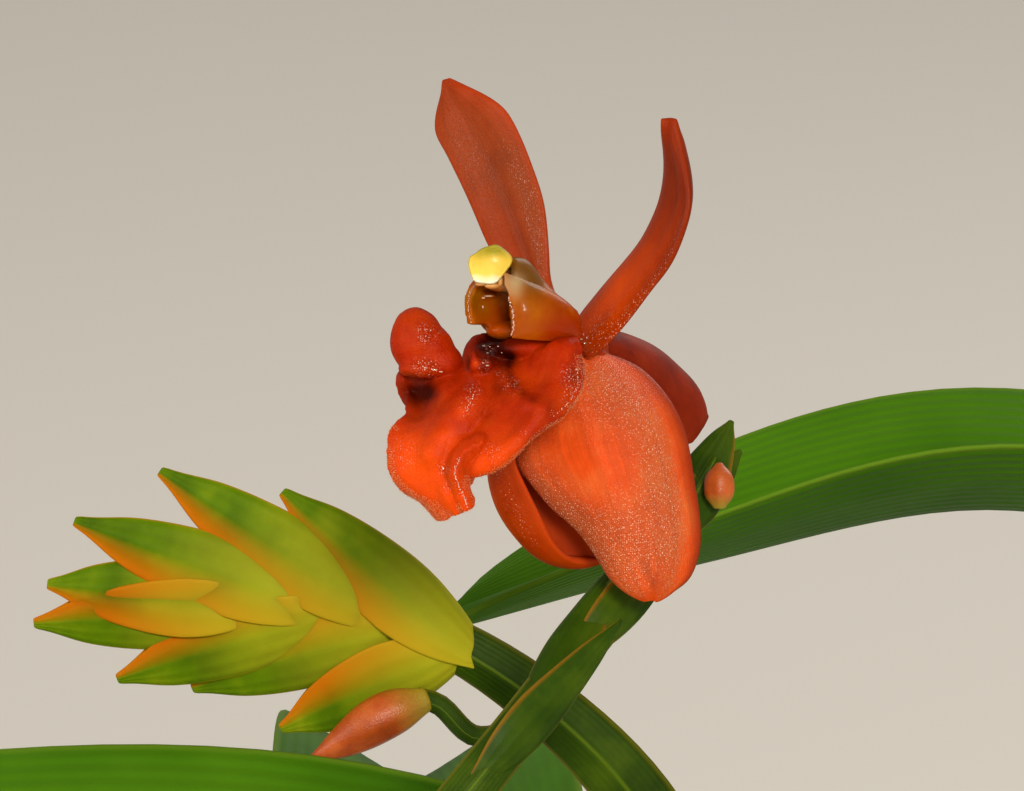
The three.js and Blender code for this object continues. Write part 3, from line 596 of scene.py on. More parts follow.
# Each tepal is a sheet through three lines, its left edge, middle and right edge, in the flower's frame
tepals = {
    "thickness": 0.3,
    "edge": 0.3,  # the share of the thickness left at the edge
    "groove": 0.02,
    "ribs": (6, 0.008),  # count and height
    "uneven": 0.012,
    "swell": 0.05,
    # wet drops: x, z, width, height
    "drops": [(-0.02, 0.12, 0.04, 0.012), (0.06, 0.04, 0.045, 0.014), (0.1, 0.15, 0.016, 0.022),
              (0.17, 0.04, 0.024, 0.012), (0.03, 0.22, 0.012, 0.02), (0.22, 0.2, 0.016, 0.014),
              (0.3, 0.1, 0.02, 0.012), (0.14, -0.04, 0.022, 0.012)],
    "petalFar": {
        "grid": (30, 12),
        "left": [(-0.75, 0.8, 0.05), (-1.3, 1.15, 1.0), (-2.0, 1.62, 2.12), (-2.5, 2.1, 3.29), (-2.9, 2.5, 4.12),
                 (-3.12, 2.75, 4.58), (-3.1, 2.78, 4.98), (-3.0, 2.7, 5.4), (-2.95, 2.66, 5.7)],
        "middle": [(-0.42, 0.6, 0.2), (-0.84, 0.95, 1.2), (-1.22, 1.33, 2.2), (-1.6, 1.7, 3.2), (-2.0, 2.0, 4.15),
                   (-2.35, 2.25, 4.85), (-2.66, 2.46, 5.36), (-2.91, 2.6, 5.71)],
        "right": [(-0.1, 0.2, 0.3), (-0.55, 0.5, 0.9), (-0.72, 0.72, 1.4), (-0.72, 0.8, 2.1), (-0.82, 0.98, 3.07),
                  (-1.1, 1.15, 3.92), (-1.38, 1.3, 4.62), (-1.6, 1.46, 5.02), (-1.86, 1.65, 5.24),
                  (-2.2, 1.95, 5.43), (-2.56, 2.25, 5.59), (-2.86, 2.55, 5.72)],
        "glints": [(0.85, 0.3, 0.2, 0.3, 1.0), (0.3, 0.6, 0.5, 0.3, 0.75)],
        "shades": [(0.5, 0.35, 0.12, 0.35, 0.3)],
    },
    "petalNear": {
        "grid": (30, 12),
        "left": [(-0.25, 0.4, 0.25), (-0.08, 0.4, 0.57), (0.38, 0.1, 1.17), (0.91, -0.35, 1.76), (1.34, -0.75, 2.4),
                 (1.6, -1.0, 2.97), (1.71, -1.15, 3.5), (1.73, -1.25, 3.92), (1.67, -1.5, 4.5), (1.655, -1.65, 4.76)],
        "middle": [(0.0, 0.0, -0.05), (0.22, -0.3, 0.2), (0.72, -0.75, 0.85), (1.3, -1.2, 1.55), (1.78, -1.6, 2.3),
                   (2.05, -1.8, 3.0), (2.08, -1.8, 3.6), (1.98, -1.75, 4.15), (1.88, -1.75, 4.55),
                   (1.85, -1.75, 4.78)],
        "right": [(0.1, -0.25, -0.3), (0.38, -0.6, -0.12), (0.88, -1.15, 0.42), (1.38, -1.62, 1.06),
                  (1.88, -2.0, 1.72), (2.14, -2.2, 2.42), (2.25, -2.25, 3.05), (2.19, -2.15, 3.6), (2.06, -2.0, 4.2),
                  (1.95, -1.88, 4.76)],
        "glints": [(0.95, 0.3, 0.1, 0.3, 0.9), (0.7, 0.1, 0.5, 0.1, 1.0)],
        "shades": [(0.4, 0.72, 0.6, 0.3, 0.6), (0.95, 0.45, 0.14, 0.6, 0.5)],
        # painted light on the petal's foot
        "paintedGlow": [(0.35, 0.12, 0.5, 0.2, 1.0)],
        "rim": 0.1,
        "foot": 0.0,
    },
    "sepalNear": {
        "grid": (34, 18),
        "left": [(-0.4, 0.45, -0.1), (-0.95, 0.45, -1.0), (-1.38, 0.3, -1.9), (-1.47, 0.2, -2.4),
                 (-1.31, 0.15, -2.7), (-1.0, 0.1, -3.08), (-0.66, 0.1, -3.47), (-0.21, 0.12, -3.85),
                 (0.11, 0.2, -4.22), (0.34, 0.25, -4.56), (0.58, 0.3, -4.95), (0.82, 0.3, -5.18), (1.1, 0.28, -5.34),
                 (1.38, 0.22, -5.42)],
        "middle": [(-0.1, 0.3, -0.1), (0.12, -0.2, -0.8), (0.4, -0.55, -1.7), (0.7, -0.68, -2.6), (1.0, -0.62, -3.5),
                   (1.25, -0.45, -4.3), (1.4, -0.15, -5.0), (1.46, 0.15, -5.42)],
        "right": [(0.15, 0.25, -0.06), (0.55, 0.4, -0.18), (0.87, 0.42, -0.29), (1.2, 0.42, -0.45), (1.5, 0.4, -0.7),
                  (1.78, 0.35, -1.02), (2.09, 0.3, -1.53), (2.28, 0.28, -2.12), (2.39, 0.28, -2.82),
                  (2.51, 0.32, -3.6), (2.53, 0.4, -4.2), (2.46, 0.45, -4.58), (2.27, 0.45, -4.98), (2.0, 0.4, -5.19),
                  (1.75, 0.32, -5.36), (1.54, 0.24, -5.43)],
        "glints": [(0.6, 0.16, 0.3, 0.14, 0.9), (0.74, 0.45, 0.13, 0.26, 1.0), (0.1, 0.5, 0.14, 0.22, 1.0),
                   (0.3, 0.66, 0.26, 0.14, 1.0), (0.55, 0.6, 0.25, 0.16, 0.85), (0.3, 0.86, 0.2, 0.1, 0.7),
                   (0.75, 0.85, 0.12, 0.12, 0.5)],
        "shades": [(0.62, 0.84, 0.1, 0.12, 0.25), (0.08, 0.62, 0.1, 0.2, 0.25), (0.5, 0.76, 0.025, 0.05, 0.5),
                   (0.56, 0.83, 0.02, 0.04, 0.4)],
        "rim": 1.0,
        "foot": 0.0,
    },
    "sepalFar": {
        "grid": (26, 12),
        "left": [(-0.25, 0.2, -0.1), (-0.9, 0.0, -1.1), (-1.4, -0.15, -2.0), (-1.44, -0.1, -2.45), (-1.2, 0.0, -3.0),
                 (-0.87, 0.2, -3.6), (-0.59, 0.5, -4.2), (-0.3, 0.9, -4.52), (0.1, 1.3, -4.62), (0.42, 1.55, -4.6)],
        "middle": [(-0.2, 0.5, 0.0), (-1.2, 0.7, -1.1), (-1.78, 0.72, -2.0), (-1.9, 0.75, -2.65),
                   (-1.76, 0.85, -3.3), (-1.49, 1.0, -3.8), (-1.08, 1.25, -4.28), (-0.66, 1.45, -4.54),
                   (-0.1, 1.6, -4.64), (0.45, 1.66, -4.6)],
        "right": [(-0.1, 0.9, 0.0), (-0.2, 1.1, -0.9), (-0.25, 1.25, -1.9), (-0.1, 1.4, -2.8), (0.15, 1.5, -3.6),
                  (0.42, 1.6, -4.2), (0.55, 1.7, -4.5), (0.62, 1.75, -4.6)],
        "glints": [(0.2, 0.45, 0.12, 0.3, 0.9)],
        "shades": [(0.3, 0.55, 0.05, 0.6, 0.35)],
    },
    "sepalDorsal": {
        "grid": (20, 10),
        "left": [(-0.2, 0.9, 0.1), (0.35, 1.6, 0.18), (0.8, 2.0, 0.16), (1.25, 2.4, 0.0), (1.6, 2.62, -0.24),
                 (1.9, 2.8, -0.51), (2.14, 2.9, -0.75), (2.36, 2.95, -1.02), (2.56, 2.95, -1.29),
                 (2.74, 2.92, -1.54)],
        "middle": [(0.0, 0.5, 0.1), (0.75, 1.05, 0.08), (1.45, 1.7, -0.18), (2.03, 2.25, -0.64), (2.43, 2.55, -1.07),
                   (2.6, 2.66, -1.76)],
        "right": [(0.2, 0.3, -0.4), (0.8, 0.7, -1.0), (1.4, 1.1, -1.6), (1.9, 1.6, -2.0), (2.15, 1.95, -2.12),
                  (2.34, 2.25, -2.1)],
        "shades": [(0.9, 0.5, 0.3, 0.6, 0.3)],
    },
}


def softSpots(marks, places, start):
    # each mark is a middle across and along, a spread across and along, and a strength
    values = []
    for (s, t), value in zip(places, start):
        for s0, t0, ds, dt, strength in marks:
            value += strength * math.exp(-(((s - s0) / ds) ** 2) - ((t - t0) / dt) ** 2)
        values.append(clamp(value))
    return values


def tepalPiece(name, material):
    shape = tepals[name]
    lines = [Line(shape[edge]) for edge in ("left", "middle", "right")]
    sections = {}

    def surface(s, t):
        key = round(t, 5)
        if key not in sections:
            reach = 1 - (1 - t) ** 1.35  # rows close up towards the tip
            section = [line.at(reach) for line in lines]
            normal = unit(np.cross(section[2] - section[0], lines[1].tangent(min(reach, 0.99))))
            sections[key] = section, normal
        section, normal = sections[key]
        groove = -tepals["groove"] * math.exp(-(((s - 0.5) / 0.09) ** 2)) * ease(0.0, 0.1, t) * ease(0.98, 0.6, t)
        ribs = tepals["ribs"][1] * math.cos(s * 2 * math.pi * tepals["ribs"][0])
        uneven = tepals["uneven"] * noise.noise(Vector((t * 22, s * 2, len(name))))
        place = curvePoint(section, 0.5 + (s - 0.5) * (1 + uneven))
        swell = tepals["swell"] * noise.noise(Vector(place) * 0.9)
        return Vector(place + normal * (groove + ribs + swell))

    def body(s, t):
        return clamp(min(s, 1 - s, (1 - t) * 1.6) * 4.5)

    piece = layGrid(name, *shape["grid"], surface, body)
    across = [d.value for d in piece.data.attributes["across"].data]
    length = [d.value for d in piece.data.attributes["along"].data]
    places = [((a + 1) / 2, t) for a, t in zip(across, length)]
    # marks for the tissue's painted light and shade: foot darkens the base as painted shade, rim gives the edges
    # their rim tone, glints mark painted highlights, shades mostly painted shade with a few darker streaks, and the
    # glow spots painted light
    foot = [shape.get("foot", 0.3) * ease(0.08, 0.0, t) for t in length]
    rim = [shape.get("rim", 0.4) * ease(0.74, 0.98, abs(a)) for a in across]
    markPoints(piece, "glint", softSpots(shape.get("glints", []), places, [0.0] * len(places)))
    markPoints(piece, "shade", softSpots(shape["shades"], places, foot))
    markPoints(piece, "warm", softSpots(shape.get("paintedGlow", []), places, rim))
    thicken(piece, tepals["thickness"], tepals["edge"])
    smoothSurface(piece, 1)
    piece.data.materials.append(material)
    return piece


def ellipsoidPiece(name, centre, radii, segments=16):
    deselectAll()
    bpy.ops.mesh.primitive_uv_sphere_add(segments=segments, ring_count=segments // 2, radius=1)
    piece = newPiece(name)
    for v in piece.data.vertices:
        v.co = Vector(centre) + Vector([a * b for a, b in zip(v.co, radii)])
    return piece


ovary = {
    "line": [(-0.15, 0.35, 0), (0.75, 1.1, -0.95), (1.45, 1.35, -2.2), (1.95, 1.85, -3.5)],
    "radii": (0.5, 0.3),
    "ribs": 6,
    "ribHeight": 0.08,
    "heart": ((-0.05, 0.4, 0.0), (0.55, 0.55, 0.42)),
}


def makePerianth():
    pieces = [tepalPiece(name, material) for name, material in (
        ("petalFar", petalTissue), ("petalNear", strapTissue), ("sepalNear", sepalTissue),
        ("sepalFar", strapTissue), ("sepalDorsal", shadeTissue))]
    line = Line(ovary["line"])

    def ribbed(turn, t):
        radius = mix(*ovary["radii"], t) * (1 + ovary["ribHeight"] * math.cos(turn * ovary["ribs"]))
        return stemPoint(line, turn, t, radius)

    stalklet = layTube("ovary", 30, 18, ribbed)
    stalklet.data.materials.append(strapTissue)
    heart = ellipsoidPiece("heart", *ovary["heart"])
    heart.data.materials.append(strapTissue)
    whole = joinPieces([*pieces, stalklet, heart], "bloom_1_tepals")
    return closeMesh(joinPieces([whole, *layDrops(whole, [], tepals["drops"], 6)], "bloom_1_tepals"))


# The lip is a net from the throat (first row) to the tip, each row from the far edge to the near one
lip = {
    "net": [
        [(-1.4, 0.2, 0.05), (-1.3, -0.1, -0.15), (-1.15, -0.35, -0.3), (-0.95, -0.55, -0.3), (-0.7, -0.8, -0.14),
         (-0.4, -1, -0.02), (-0.13, -0.9, 0.03)],
        [(-2.2, -0.1, 0.12), (-2.3, -0.45, -0.12), (-2.15, -0.8, -0.4), (-1.8, -1.1, -0.58), (-1.3, -1.4, -0.5),
         (-0.55, -1.8, -0.06), (-0.06, -1.6, -0.02)],
        [(-2.58, -0.55, -0.56), (-2.5, -0.75, -0.6), (-2.3, -1.0, -0.62), (-1.98, -1.3, -0.7), (-1.42, -1.6, -0.74),
         (-0.52, -2.0, -0.4), (-0.02, -1.75, -0.22)],
        [(-3.2, -0.5, -0.35), (-2.95, -0.8, -0.5), (-2.6, -1.15, -0.7), (-2.15, -1.45, -0.84), (-1.55, -1.75, -0.95),
         (-0.5, -2.2, -0.75), (0.0, -1.9, -0.45)],
        [(-3.88, -0.72, -0.55), (-3.5, -0.8, -0.95), (-3.05, -1.3, -0.95), (-2.55, -1.75, -1.05),
         (-1.9, -2.05, -1.3), (-0.68, -2.45, -1.15), (-0.02, -2.05, -0.95)],
        [(-3.78, -0.85, -1.05), (-3.4, -0.95, -1.35), (-3.05, -1.55, -1.3), (-2.6, -2.0, -1.4), (-1.95, -2.3, -1.65),
         (-0.86, -2.6, -1.5), (-0.3, -2.3, -1.38)],
        [(-3.66, -1.0, -1.5), (-3.4, -1.4, -1.68), (-3.1, -1.8, -1.7), (-2.7, -2.15, -1.8), (-2.15, -2.4, -1.95),
         (-1.15, -2.68, -1.85), (-0.9, -2.55, -1.66)],
        [(-4.0, -1.4, -1.85), (-3.65, -1.75, -1.98), (-3.25, -2.0, -2.05), (-2.85, -2.2, -2.1), (-2.4, -2.45, -2.2),
         (-1.55, -2.72, -2.25), (-1.33, -2.62, -2.12)],
        [(-4.04, -1.45, -2.22), (-3.7, -1.85, -2.3), (-3.3, -2.08, -2.38), (-2.92, -2.25, -2.45), (-2.6, -2.5, -2.5),
         (-2.0, -2.62, -2.56), (-1.74, -2.6, -2.47)],
        [(-3.98, -1.5, -2.64), (-3.68, -1.85, -2.72), (-3.3, -2.05, -2.78), (-2.98, -2.2, -2.82),
         (-2.74, -2.45, -2.8), (-2.5, -2.38, -2.78), (-2.24, -2.42, -2.7)],
        [(-3.8, -1.45, -2.92), (-3.55, -1.75, -3.02), (-3.25, -1.95, -3.1), (-2.96, -2.12, -3.14),
         (-2.76, -2.38, -3.12), (-2.58, -2.26, -3.08), (-2.4, -2.28, -2.95)],
        [(-3.4, -1.4, -3.18), (-3.25, -1.62, -3.28), (-3.08, -1.8, -3.36), (-2.88, -1.98, -3.4),
         (-2.7, -2.24, -3.34), (-2.55, -2.16, -3.28), (-2.38, -2.2, -3.2)],
        [(-3.02, -1.42, -3.55), (-2.94, -1.55, -3.63), (-2.86, -1.7, -3.64), (-2.76, -1.85, -3.58),
         (-2.62, -2.1, -3.5), (-2.5, -2.02, -3.48), (-2.4, -2.08, -3.44)],
    ],
    "grid": (88, 64),
    "thickness": 0.3,
    # rounded bodies: centre, radii
    "bodies": [
        ((-3.5, -0.95, 0.08), (0.56, 0.55, 0.72)),  # the knob, and its slope down to the throat
        ((-3.22, -0.95, -0.1), (0.52, 0.5, 0.56)),
        ((-2.95, -0.95, -0.36), (0.42, 0.44, 0.4)),
        ((-3.36, -1.15, -0.5), (0.54, 0.4, 0.22)),  # the knob's lower rim
        ((-2.12, -1.42, -0.46), (0.27, 0.34, 0.2)),  # the callus, a tooth with two points
        ((-2.27, -1.5, -0.28), (0.1, 0.2, 0.19)),
        ((-2.0, -1.62, -0.42), (0.12, 0.18, 0.14)),
        ((-1.75, -0.5, -0.16), (0.6, 0.4, 0.22)),  # the throat
        ((-0.9, -0.75, -0.08), (0.95, 0.6, 0.27)),
    ],
    "voxel": 0.036,
    "knob": (-3.3, 0.0, 0.8),  # where the bodies are blended: x, z and radius
    "blending": 26,
    "swells": [(0.025, 2.1), (0.014, 5.0)],  # height and fineness
    # folds of the whole sheet towards the viewer, along lines in x and z: points, radius, height
    "relief": [
        ([(-3.6, -1.02), (-3.25, -1.08)], 0.24, -0.3),
        ([(-1.98, -0.62), (-2.27, -1.12), (-2.93, -1.76), (-3.15, -2.3)], 0.22, 0.2),
        ([(-1.68, -0.35), (-1.76, -1.0), (-1.98, -1.4), (-2.36, -1.95)], 0.11, -0.2),
        ([(-2.6, -0.75), (-2.75, -1.2), (-3.1, -1.5)], 0.16, -0.14),
        ([(-1.12, -0.35), (-1.0, -0.7)], 0.46, -0.42),
        ([(-1.62, -0.2), (-1.68, -0.6), (-1.5, -1.0), (-1.15, -1.28), (-0.85, -1.35)], 0.1, 0.13),
        ([(-0.3, -0.1), (-0.42, -0.6), (-0.66, -1.12), (-1.0, -1.6), (-1.4, -2.05), (-1.8, -2.4)], 0.1, 0.1),
        ([(-0.08, -0.3), (-0.14, -0.8), (-0.36, -1.25)], 0.12, -0.12),
        ([(-2.15, -2.05), (-2.42, -2.2), (-2.59, -2.4), (-2.68, -2.65), (-2.6, -2.97), (-2.46, -3.29), (-2.4, -3.5)],
         0.065, 0.32),
        ([(-2.78, -2.4), (-2.83, -2.65), (-2.75, -3.0), (-2.6, -3.35)], 0.07, -0.18),
        ([(-2.1, -2.25), (-2.42, -2.55), (-2.46, -2.85)], 0.08, -0.18),
        ([(-3.6, -2.2), (-3.4, -2.75)], 0.3, -0.1),
    ],
    # tints: x, z, radius, strength. shade is painted shade in the pit under the knob, the throat, the creases and
    # grooves, with some of the lip's own darker red; warm is the lower lobe's own orange, with painted light along
    # the ridge and on the callus; glint marks painted highlights
    "shade": [(-3.5, -1.03, 0.4, 1.0), (-3.4, 0.45, 0.5, 0.2), (-0.6, -1.3, 0.4, 0.2), (-3.2, -1.0, 0.2, 0.5),
              (-1.75, -0.12, 0.36, 1.0), (-2.1, 0.0, 0.25, 0.8), (-1.72, -0.9, 0.2, 0.4), (-1.5, -0.25, 0.12, 0.6),
              (-1.55, -0.45, 0.1, 0.5), (-1.53, -0.65, 0.1, 0.5), (-1.42, -0.85, 0.1, 0.5),
              (-1.25, -1.02, 0.1, 0.45), (-1.05, -1.15, 0.1, 0.35), (-0.2, -0.7, 0.16, 0.4),
              (-2.0, -1.5, 0.24, 0.25), (-2.82, -2.6, 0.08, 0.5), (-2.76, -2.95, 0.08, 0.5),
              (-2.62, -3.3, 0.07, 0.4), (-2.44, -2.65, 0.08, 0.5), (-2.08, -0.5, 0.13, 0.5)],
    "warm": [(-2.5, -1.4, 0.2, 0.35), (-2.85, -1.95, 0.22, 0.4), (-2.26, -0.4, 0.07, 0.5), (-3.5, -2.5, 0.75, 0.9),
             (-2.75, -3.4, 0.6, 0.7), (-1.6, -2.25, 0.5, 0.6), (-2.1, -2.55, 0.4, 0.5), (-0.3, -1.1, 0.3, 0.35)],
    "glint": [(-3.27, 0.22, 0.24, 1.0), (-3.2, -0.5, 0.2, 1.0), (-3.45, -0.45, 0.2, 0.7), (-2.3, -0.95, 0.2, 0.8),
              (-2.45, -1.3, 0.18, 0.8), (-1.5, -0.85, 0.2, 0.9), (-1.75, -0.6, 0.12, 0.7), (-2.08, -0.42, 0.16, 0.8),
              (-2.67, -2.6, 0.08, 1.0), (-2.63, -2.85, 0.08, 1.0), (-2.55, -3.1, 0.08, 1.0),
              (-2.46, -3.3, 0.08, 1.0), (-2.59, -2.4, 0.08, 0.9), (-1.95, -0.05, 0.12, 0.6),
              (-0.25, -0.6, 0.24, 1.0), (-0.2, -1.05, 0.24, 1.0), (-2.95, -2.6, 0.14, 1.0), (-2.86, -3.0, 0.14, 0.8),
              (-3.8, -2.3, 0.45, 0.5), (-1.9, -2.3, 0.3, 0.6), (-1.2, -1.9, 0.2, 0.5)],
    # wet drops: rows as points in x and z, count and size, then single ones
    "dropRows": [([(-2.59, -2.4), (-2.68, -2.65), (-2.6, -2.97), (-2.46, -3.29), (-2.4, -3.48)], 34, 0.016),
                 ([(-2.25, -1.0), (-2.5, -1.5)], 9, 0.014),
                 ([(-0.12, -0.5), (-0.1, -0.8), (-0.28, -1.2), (-0.6, -1.5)], 26, 0.013)],
    "drops": [(-2.08, -0.02, 0.036, 0.011), (-1.95, -0.04, 0.018, 0.01), (-1.78, -0.03, 0.02, 0.011),
              (-1.7, -0.17, 0.016, 0.014), (-2.0, -0.17, 0.03, 0.009), (-2.0, -0.44, 0.045, 0.018),
              (-2.1, -0.38, 0.018, 0.013), (-3.12, -0.53, 0.07, 0.018), (-2.98, -0.57, 0.045, 0.018),
              (-3.3, -0.49, 0.04, 0.015), (-3.2, 0.3, 0.02, 0.02), (-3.3, 0.18, 0.02, 0.015),
              (-2.93, -2.6, 0.02, 0.035)],
    # papillae: how many, how far from the edge, and their size
    "hairs": 2600,
    "hairMargin": 0.16,
    "hairLength": 0.04,
    "hairWidth": 0.008,
}


def netSurface(net):
    columns = {}

    def surface(s, t):
        key = round(s, 5)
        if key not in columns:
            columns[key] = [curvePoint(row, s) for row in net]
        return Vector(curvePoint(columns[key], t))

    return surface


def spots(marks, x, z):
    return clamp(sum(m[3] * math.exp(-((x - m[0]) ** 2 + (z - m[1]) ** 2) / m[2] ** 2) for m in marks))


def nearLine(points, x, z):
    # how far a place is from a line of points, in x and z
    best = 9.0
    for (x0, z0), (x1, z1) in zip(points, points[1:]):
        dx, dz = x1 - x0, z1 - z0
        t = clamp(((x - x0) * dx + (z - z0) * dz) / (dx * dx + dz * dz))
        best = min(best, math.hypot(x - x0 - t * dx, z - z0 - t * dz))
    return best


def remeshed(piece, voxel):
    applyModifier(piece, "REMESH", mode="VOXEL", voxel_size=voxel)
    applyModifier(piece, "SMOOTH", factor=0.5, iterations=4)
    makeActive(piece)
    bpy.ops.object.shade_smooth()
    return piece


def hairMesh(name, roots, length, width, seed):
    # short pointed papillae, four-sided, each sunk in at its foot
    rng = random.Random(seed)
    places, faces = [], []
    for root, way in roots:
        way = (Vector(way) + Vector([rng.uniform(-0.45, 0.45) for _ in range(3)])).normalized()
        side = way.orthogonal().normalized()
        other = way.cross(side)
        long = length * rng.uniform(0.5, 1.15)
        start = len(places)
        foot = Vector(root) - way * length * 0.5
        places += [foot + side * width, foot + other * width, foot - side * width, foot - other * width,
                   Vector(root) + way * long]
        faces += [(start, start + 1, start + 4), (start + 1, start + 2, start + 4), (start + 2, start + 3, start + 4),
                  (start + 3, start, start + 4), (start + 3, start + 2, start + 1, start)]
    mesh = bpy.data.meshes.new(name)
    mesh.from_pydata(places, [], faces)
    piece = bpy.data.objects.new(name, mesh)
    bpy.context.scene.collection.objects.link(piece)
    return piece


def makeLip():
    flat = netSurface(lip["net"])

    def surface(s, t):
        place = flat(s, t)
        for points, radius, height in lip["relief"]:
            near = nearLine(points, place.x, place.z)
            if near < radius * 2.6:
                place.y -= height * math.exp(-((near / radius) ** 2))
        return place

    flesh = layGrid("lipSheet", *lip["grid"], surface)
    thicken(flesh, lip["thickness"])
    bodies = [ellipsoidPiece("lipBody", centre, radii, 28) for centre, radii in lip["bodies"]]
    flesh = remeshed(joinPieces([flesh, *bodies], "bloom_1_lip"), lip["voxel"])
    blend = flesh.vertex_groups.new(name="blend")
    knobX, knobZ, knobRadius = lip["knob"]
    for v in flesh.data.vertices:
        away = math.hypot(v.co.x - knobX, v.co.z - knobZ) / knobRadius
        blend.add([v.index], ease(1.0, 0.7, away), "REPLACE")
    applyModifier(flesh, "SMOOTH", factor=0.5, iterations=lip["blending"], vertex_group="blend")
    normals = [v.normal.copy() for v in flesh.data.vertices]
    for v, normal in zip(flesh.data.vertices, normals):
        v.co += normal * sum(height * noise.noise(v.co * fineness) for height, fineness in lip["swells"])
    # papillae along the margins, where the flesh turns from the front to the back
    rng = random.Random(11)
    steps = [i / 24 for i in range(25)]
    edges = [flat(0, t) for t in steps[14:]], [flat(1, t) for t in steps], [flat(s, 1) for s in steps]
    margins = [[(p.x, p.z) for p in edge] for edge in edges]
    turned = [i for i, v in enumerate(flesh.data.vertices) if abs(normals[i].y) < 0.7 and v.co.z < -0.2
              and min(nearLine(line, v.co.x, v.co.z) for line in margins) < lip["hairMargin"]]
    chosen = rng.sample(turned, min(lip["hairs"], len(turned)))
    roots = [(flesh.data.vertices[i].co.copy(), normals[i]) for i in chosen]
    hairs = hairMesh("lipHairs", roots, lip["hairLength"], lip["hairWidth"], 5)
    flesh.data.materials.append(lipTissue)
    hairs.data.materials.append(papillaSkin)
    piece = joinPieces([flesh, hairs, *layDrops(flesh, lip["dropRows"], lip["drops"], 4)], "bloom_1_lip")
    makeActive(piece)
    bpy.ops.object.shade_smooth()
    places = [v.co for v in piece.data.vertices]
    for mark in ("shade", "warm", "glint"):
        markPoints(piece, mark, [spots(lip[mark], p.x, p.z) for p in places])
    return piece


# The column is a hood from its foot (first row) to its front rim, each row from the near wing over the back
column = {
    "hood": [
        [(-0.12, -0.7, 0.0), (-0.07, -0.85, 0.3), (-0.1, -0.65, 0.58), (-0.3, -0.4, 0.72), (-0.7, -0.1, 0.66),
         (-0.95, 0.05, 0.45), (-1.05, -0.05, 0.2)],
        [(-0.55, -1.0, 0.06), (-0.5, -1.15, 0.42), (-0.45, -0.85, 0.8), (-0.62, -0.5, 1.0), (-1.1, -0.3, 1.0),
         (-1.4, -0.25, 0.65), (-1.4, -0.4, 0.25)],
        [(-0.98, -1.2, 0.14), (-0.95, -1.35, 0.6), (-0.88, -1.0, 1.05), (-0.98, -0.65, 1.4), (-1.5, -0.5, 1.35),
         (-1.8, -0.5, 0.95), (-1.75, -0.6, 0.4)],
        [(-1.33, -1.4, 0.13), (-1.3, -1.5, 0.62), (-1.18, -1.2, 1.25), (-1.22, -0.85, 1.72), (-1.75, -0.8, 1.6),
         (-2.12, -0.75, 1.05), (-2.1, -0.8, 0.42)],
        [(-1.45, -1.5, 0.2), (-1.5, -1.6, 0.62), (-1.5, -1.5, 1.2), (-1.5, -1.2, 1.74), (-2.0, -1.2, 1.55),
         (-2.42, -1.1, 1.02), (-2.38, -1.05, 0.42)],
    ],
    "hoodGrid": (30, 44),
    "hoodThickness": 0.2,
    # the near wing, from its front edge back to the foot, each row from the bottom to the free edge
    "wing": [
        [(-1.5, -1.95, 0.15), (-1.455, -2.02, 0.42), (-1.47, -2.05, 0.7), (-1.56, -2.02, 1.02), (-1.68, -1.85, 1.52)],
        [(-1.2, -1.9, 0.11), (-1.12, -2.0, 0.42), (-1.12, -2.03, 0.75), (-1.15, -1.95, 1.05), (-1.2, -1.7, 1.34)],
        [(-0.75, -1.65, 0.08), (-0.66, -1.74, 0.38), (-0.64, -1.76, 0.66), (-0.66, -1.66, 0.92), (-0.7, -1.45, 1.13)],
        [(-0.32, -1.3, 0.05), (-0.24, -1.36, 0.28), (-0.22, -1.36, 0.5), (-0.25, -1.28, 0.7), (-0.32, -1.1, 0.87)],
        [(-0.1, -1.0, 0.02), (-0.05, -1.02, 0.16), (-0.04, -1.0, 0.3), (-0.06, -0.95, 0.44), (-0.1, -0.85, 0.58)],
    ],
    "wingGrid": (30, 30),
    "wingThickness": 0.15,
    "scallops": (34, 0.025),  # how close and how deep they are on the wing's wet front edge
    "bodies": [
        ((-1.76, -0.3, 0.8), (0.5, 0.3, 0.62)),  # the stigma inside the hood, and its wet lips
        ((-1.55, -0.62, 0.3), (0.5, 0.4, 0.2)),
        ((-2.0, -0.72, 1.03), (0.2, 0.26, 0.06)),
        ((-2.1, -0.68, 0.8), (0.06, 0.22, 0.08)),
        ((-0.6, -0.5, 0.3), (0.55, 0.5, 0.36)),
        ((-1.72, -1.4, 1.3), (0.36, 0.26, 0.18)),  # the seat of the cap
    ],
    "voxel": 0.045,
    # tints: x, z, radius, strength; shade is painted shade inside the hood and at the foot of the wing, and also the
    # wing back's own deeper red
    "olive": [(-1.15, 1.65, 0.4, 1.0), (-1.5, 1.75, 0.3, 0.8), (-0.95, 1.3, 0.25, 0.6), (-2.3, 1.0, 0.3, 0.6),
              (-2.0, 0.7, 0.3, 0.3), (-1.2, 0.9, 0.3, 0.3)],
    "pale": [(-1.52, 1.3, 0.22, 0.7), (-1.35, 1.35, 0.14, 0.6), (-1.4, 1.1, 0.14, 0.35)],
    "shade": [(-1.9, 0.35, 0.3, 0.5), (-2.05, 0.95, 0.16, 0.3), (-0.1, 0.3, 0.5, 1.0), (-0.6, 0.2, 0.4, 0.7),
              (-1.75, 0.7, 0.2, 0.3)],
    # wet drops along the rims, as the lip's
    "dropRows": [([(-1.49, 0.2), (-1.455, 0.45), (-1.475, 0.7), (-1.56, 0.98)], 24, 0.02),
                 ([(-2.36, 1.15), (-2.41, 0.9), (-2.39, 0.65), (-2.34, 0.44)], 18, 0.015)],
    "drops": [(-1.98, 1.03, 0.1, 0.022), (-2.09, 0.99, 0.04, 0.02), (-2.1, 0.8, 0.022, 0.034)],
}


def frontAt(cloud, x, z):
    # the frontmost point of a mesh near x and z
    near = cloud[(abs(cloud[:, 0] - x) < 0.05) & (abs(cloud[:, 2] - z) < 0.05)]
    return near[near[:, 1].argmin()] if len(near) else None


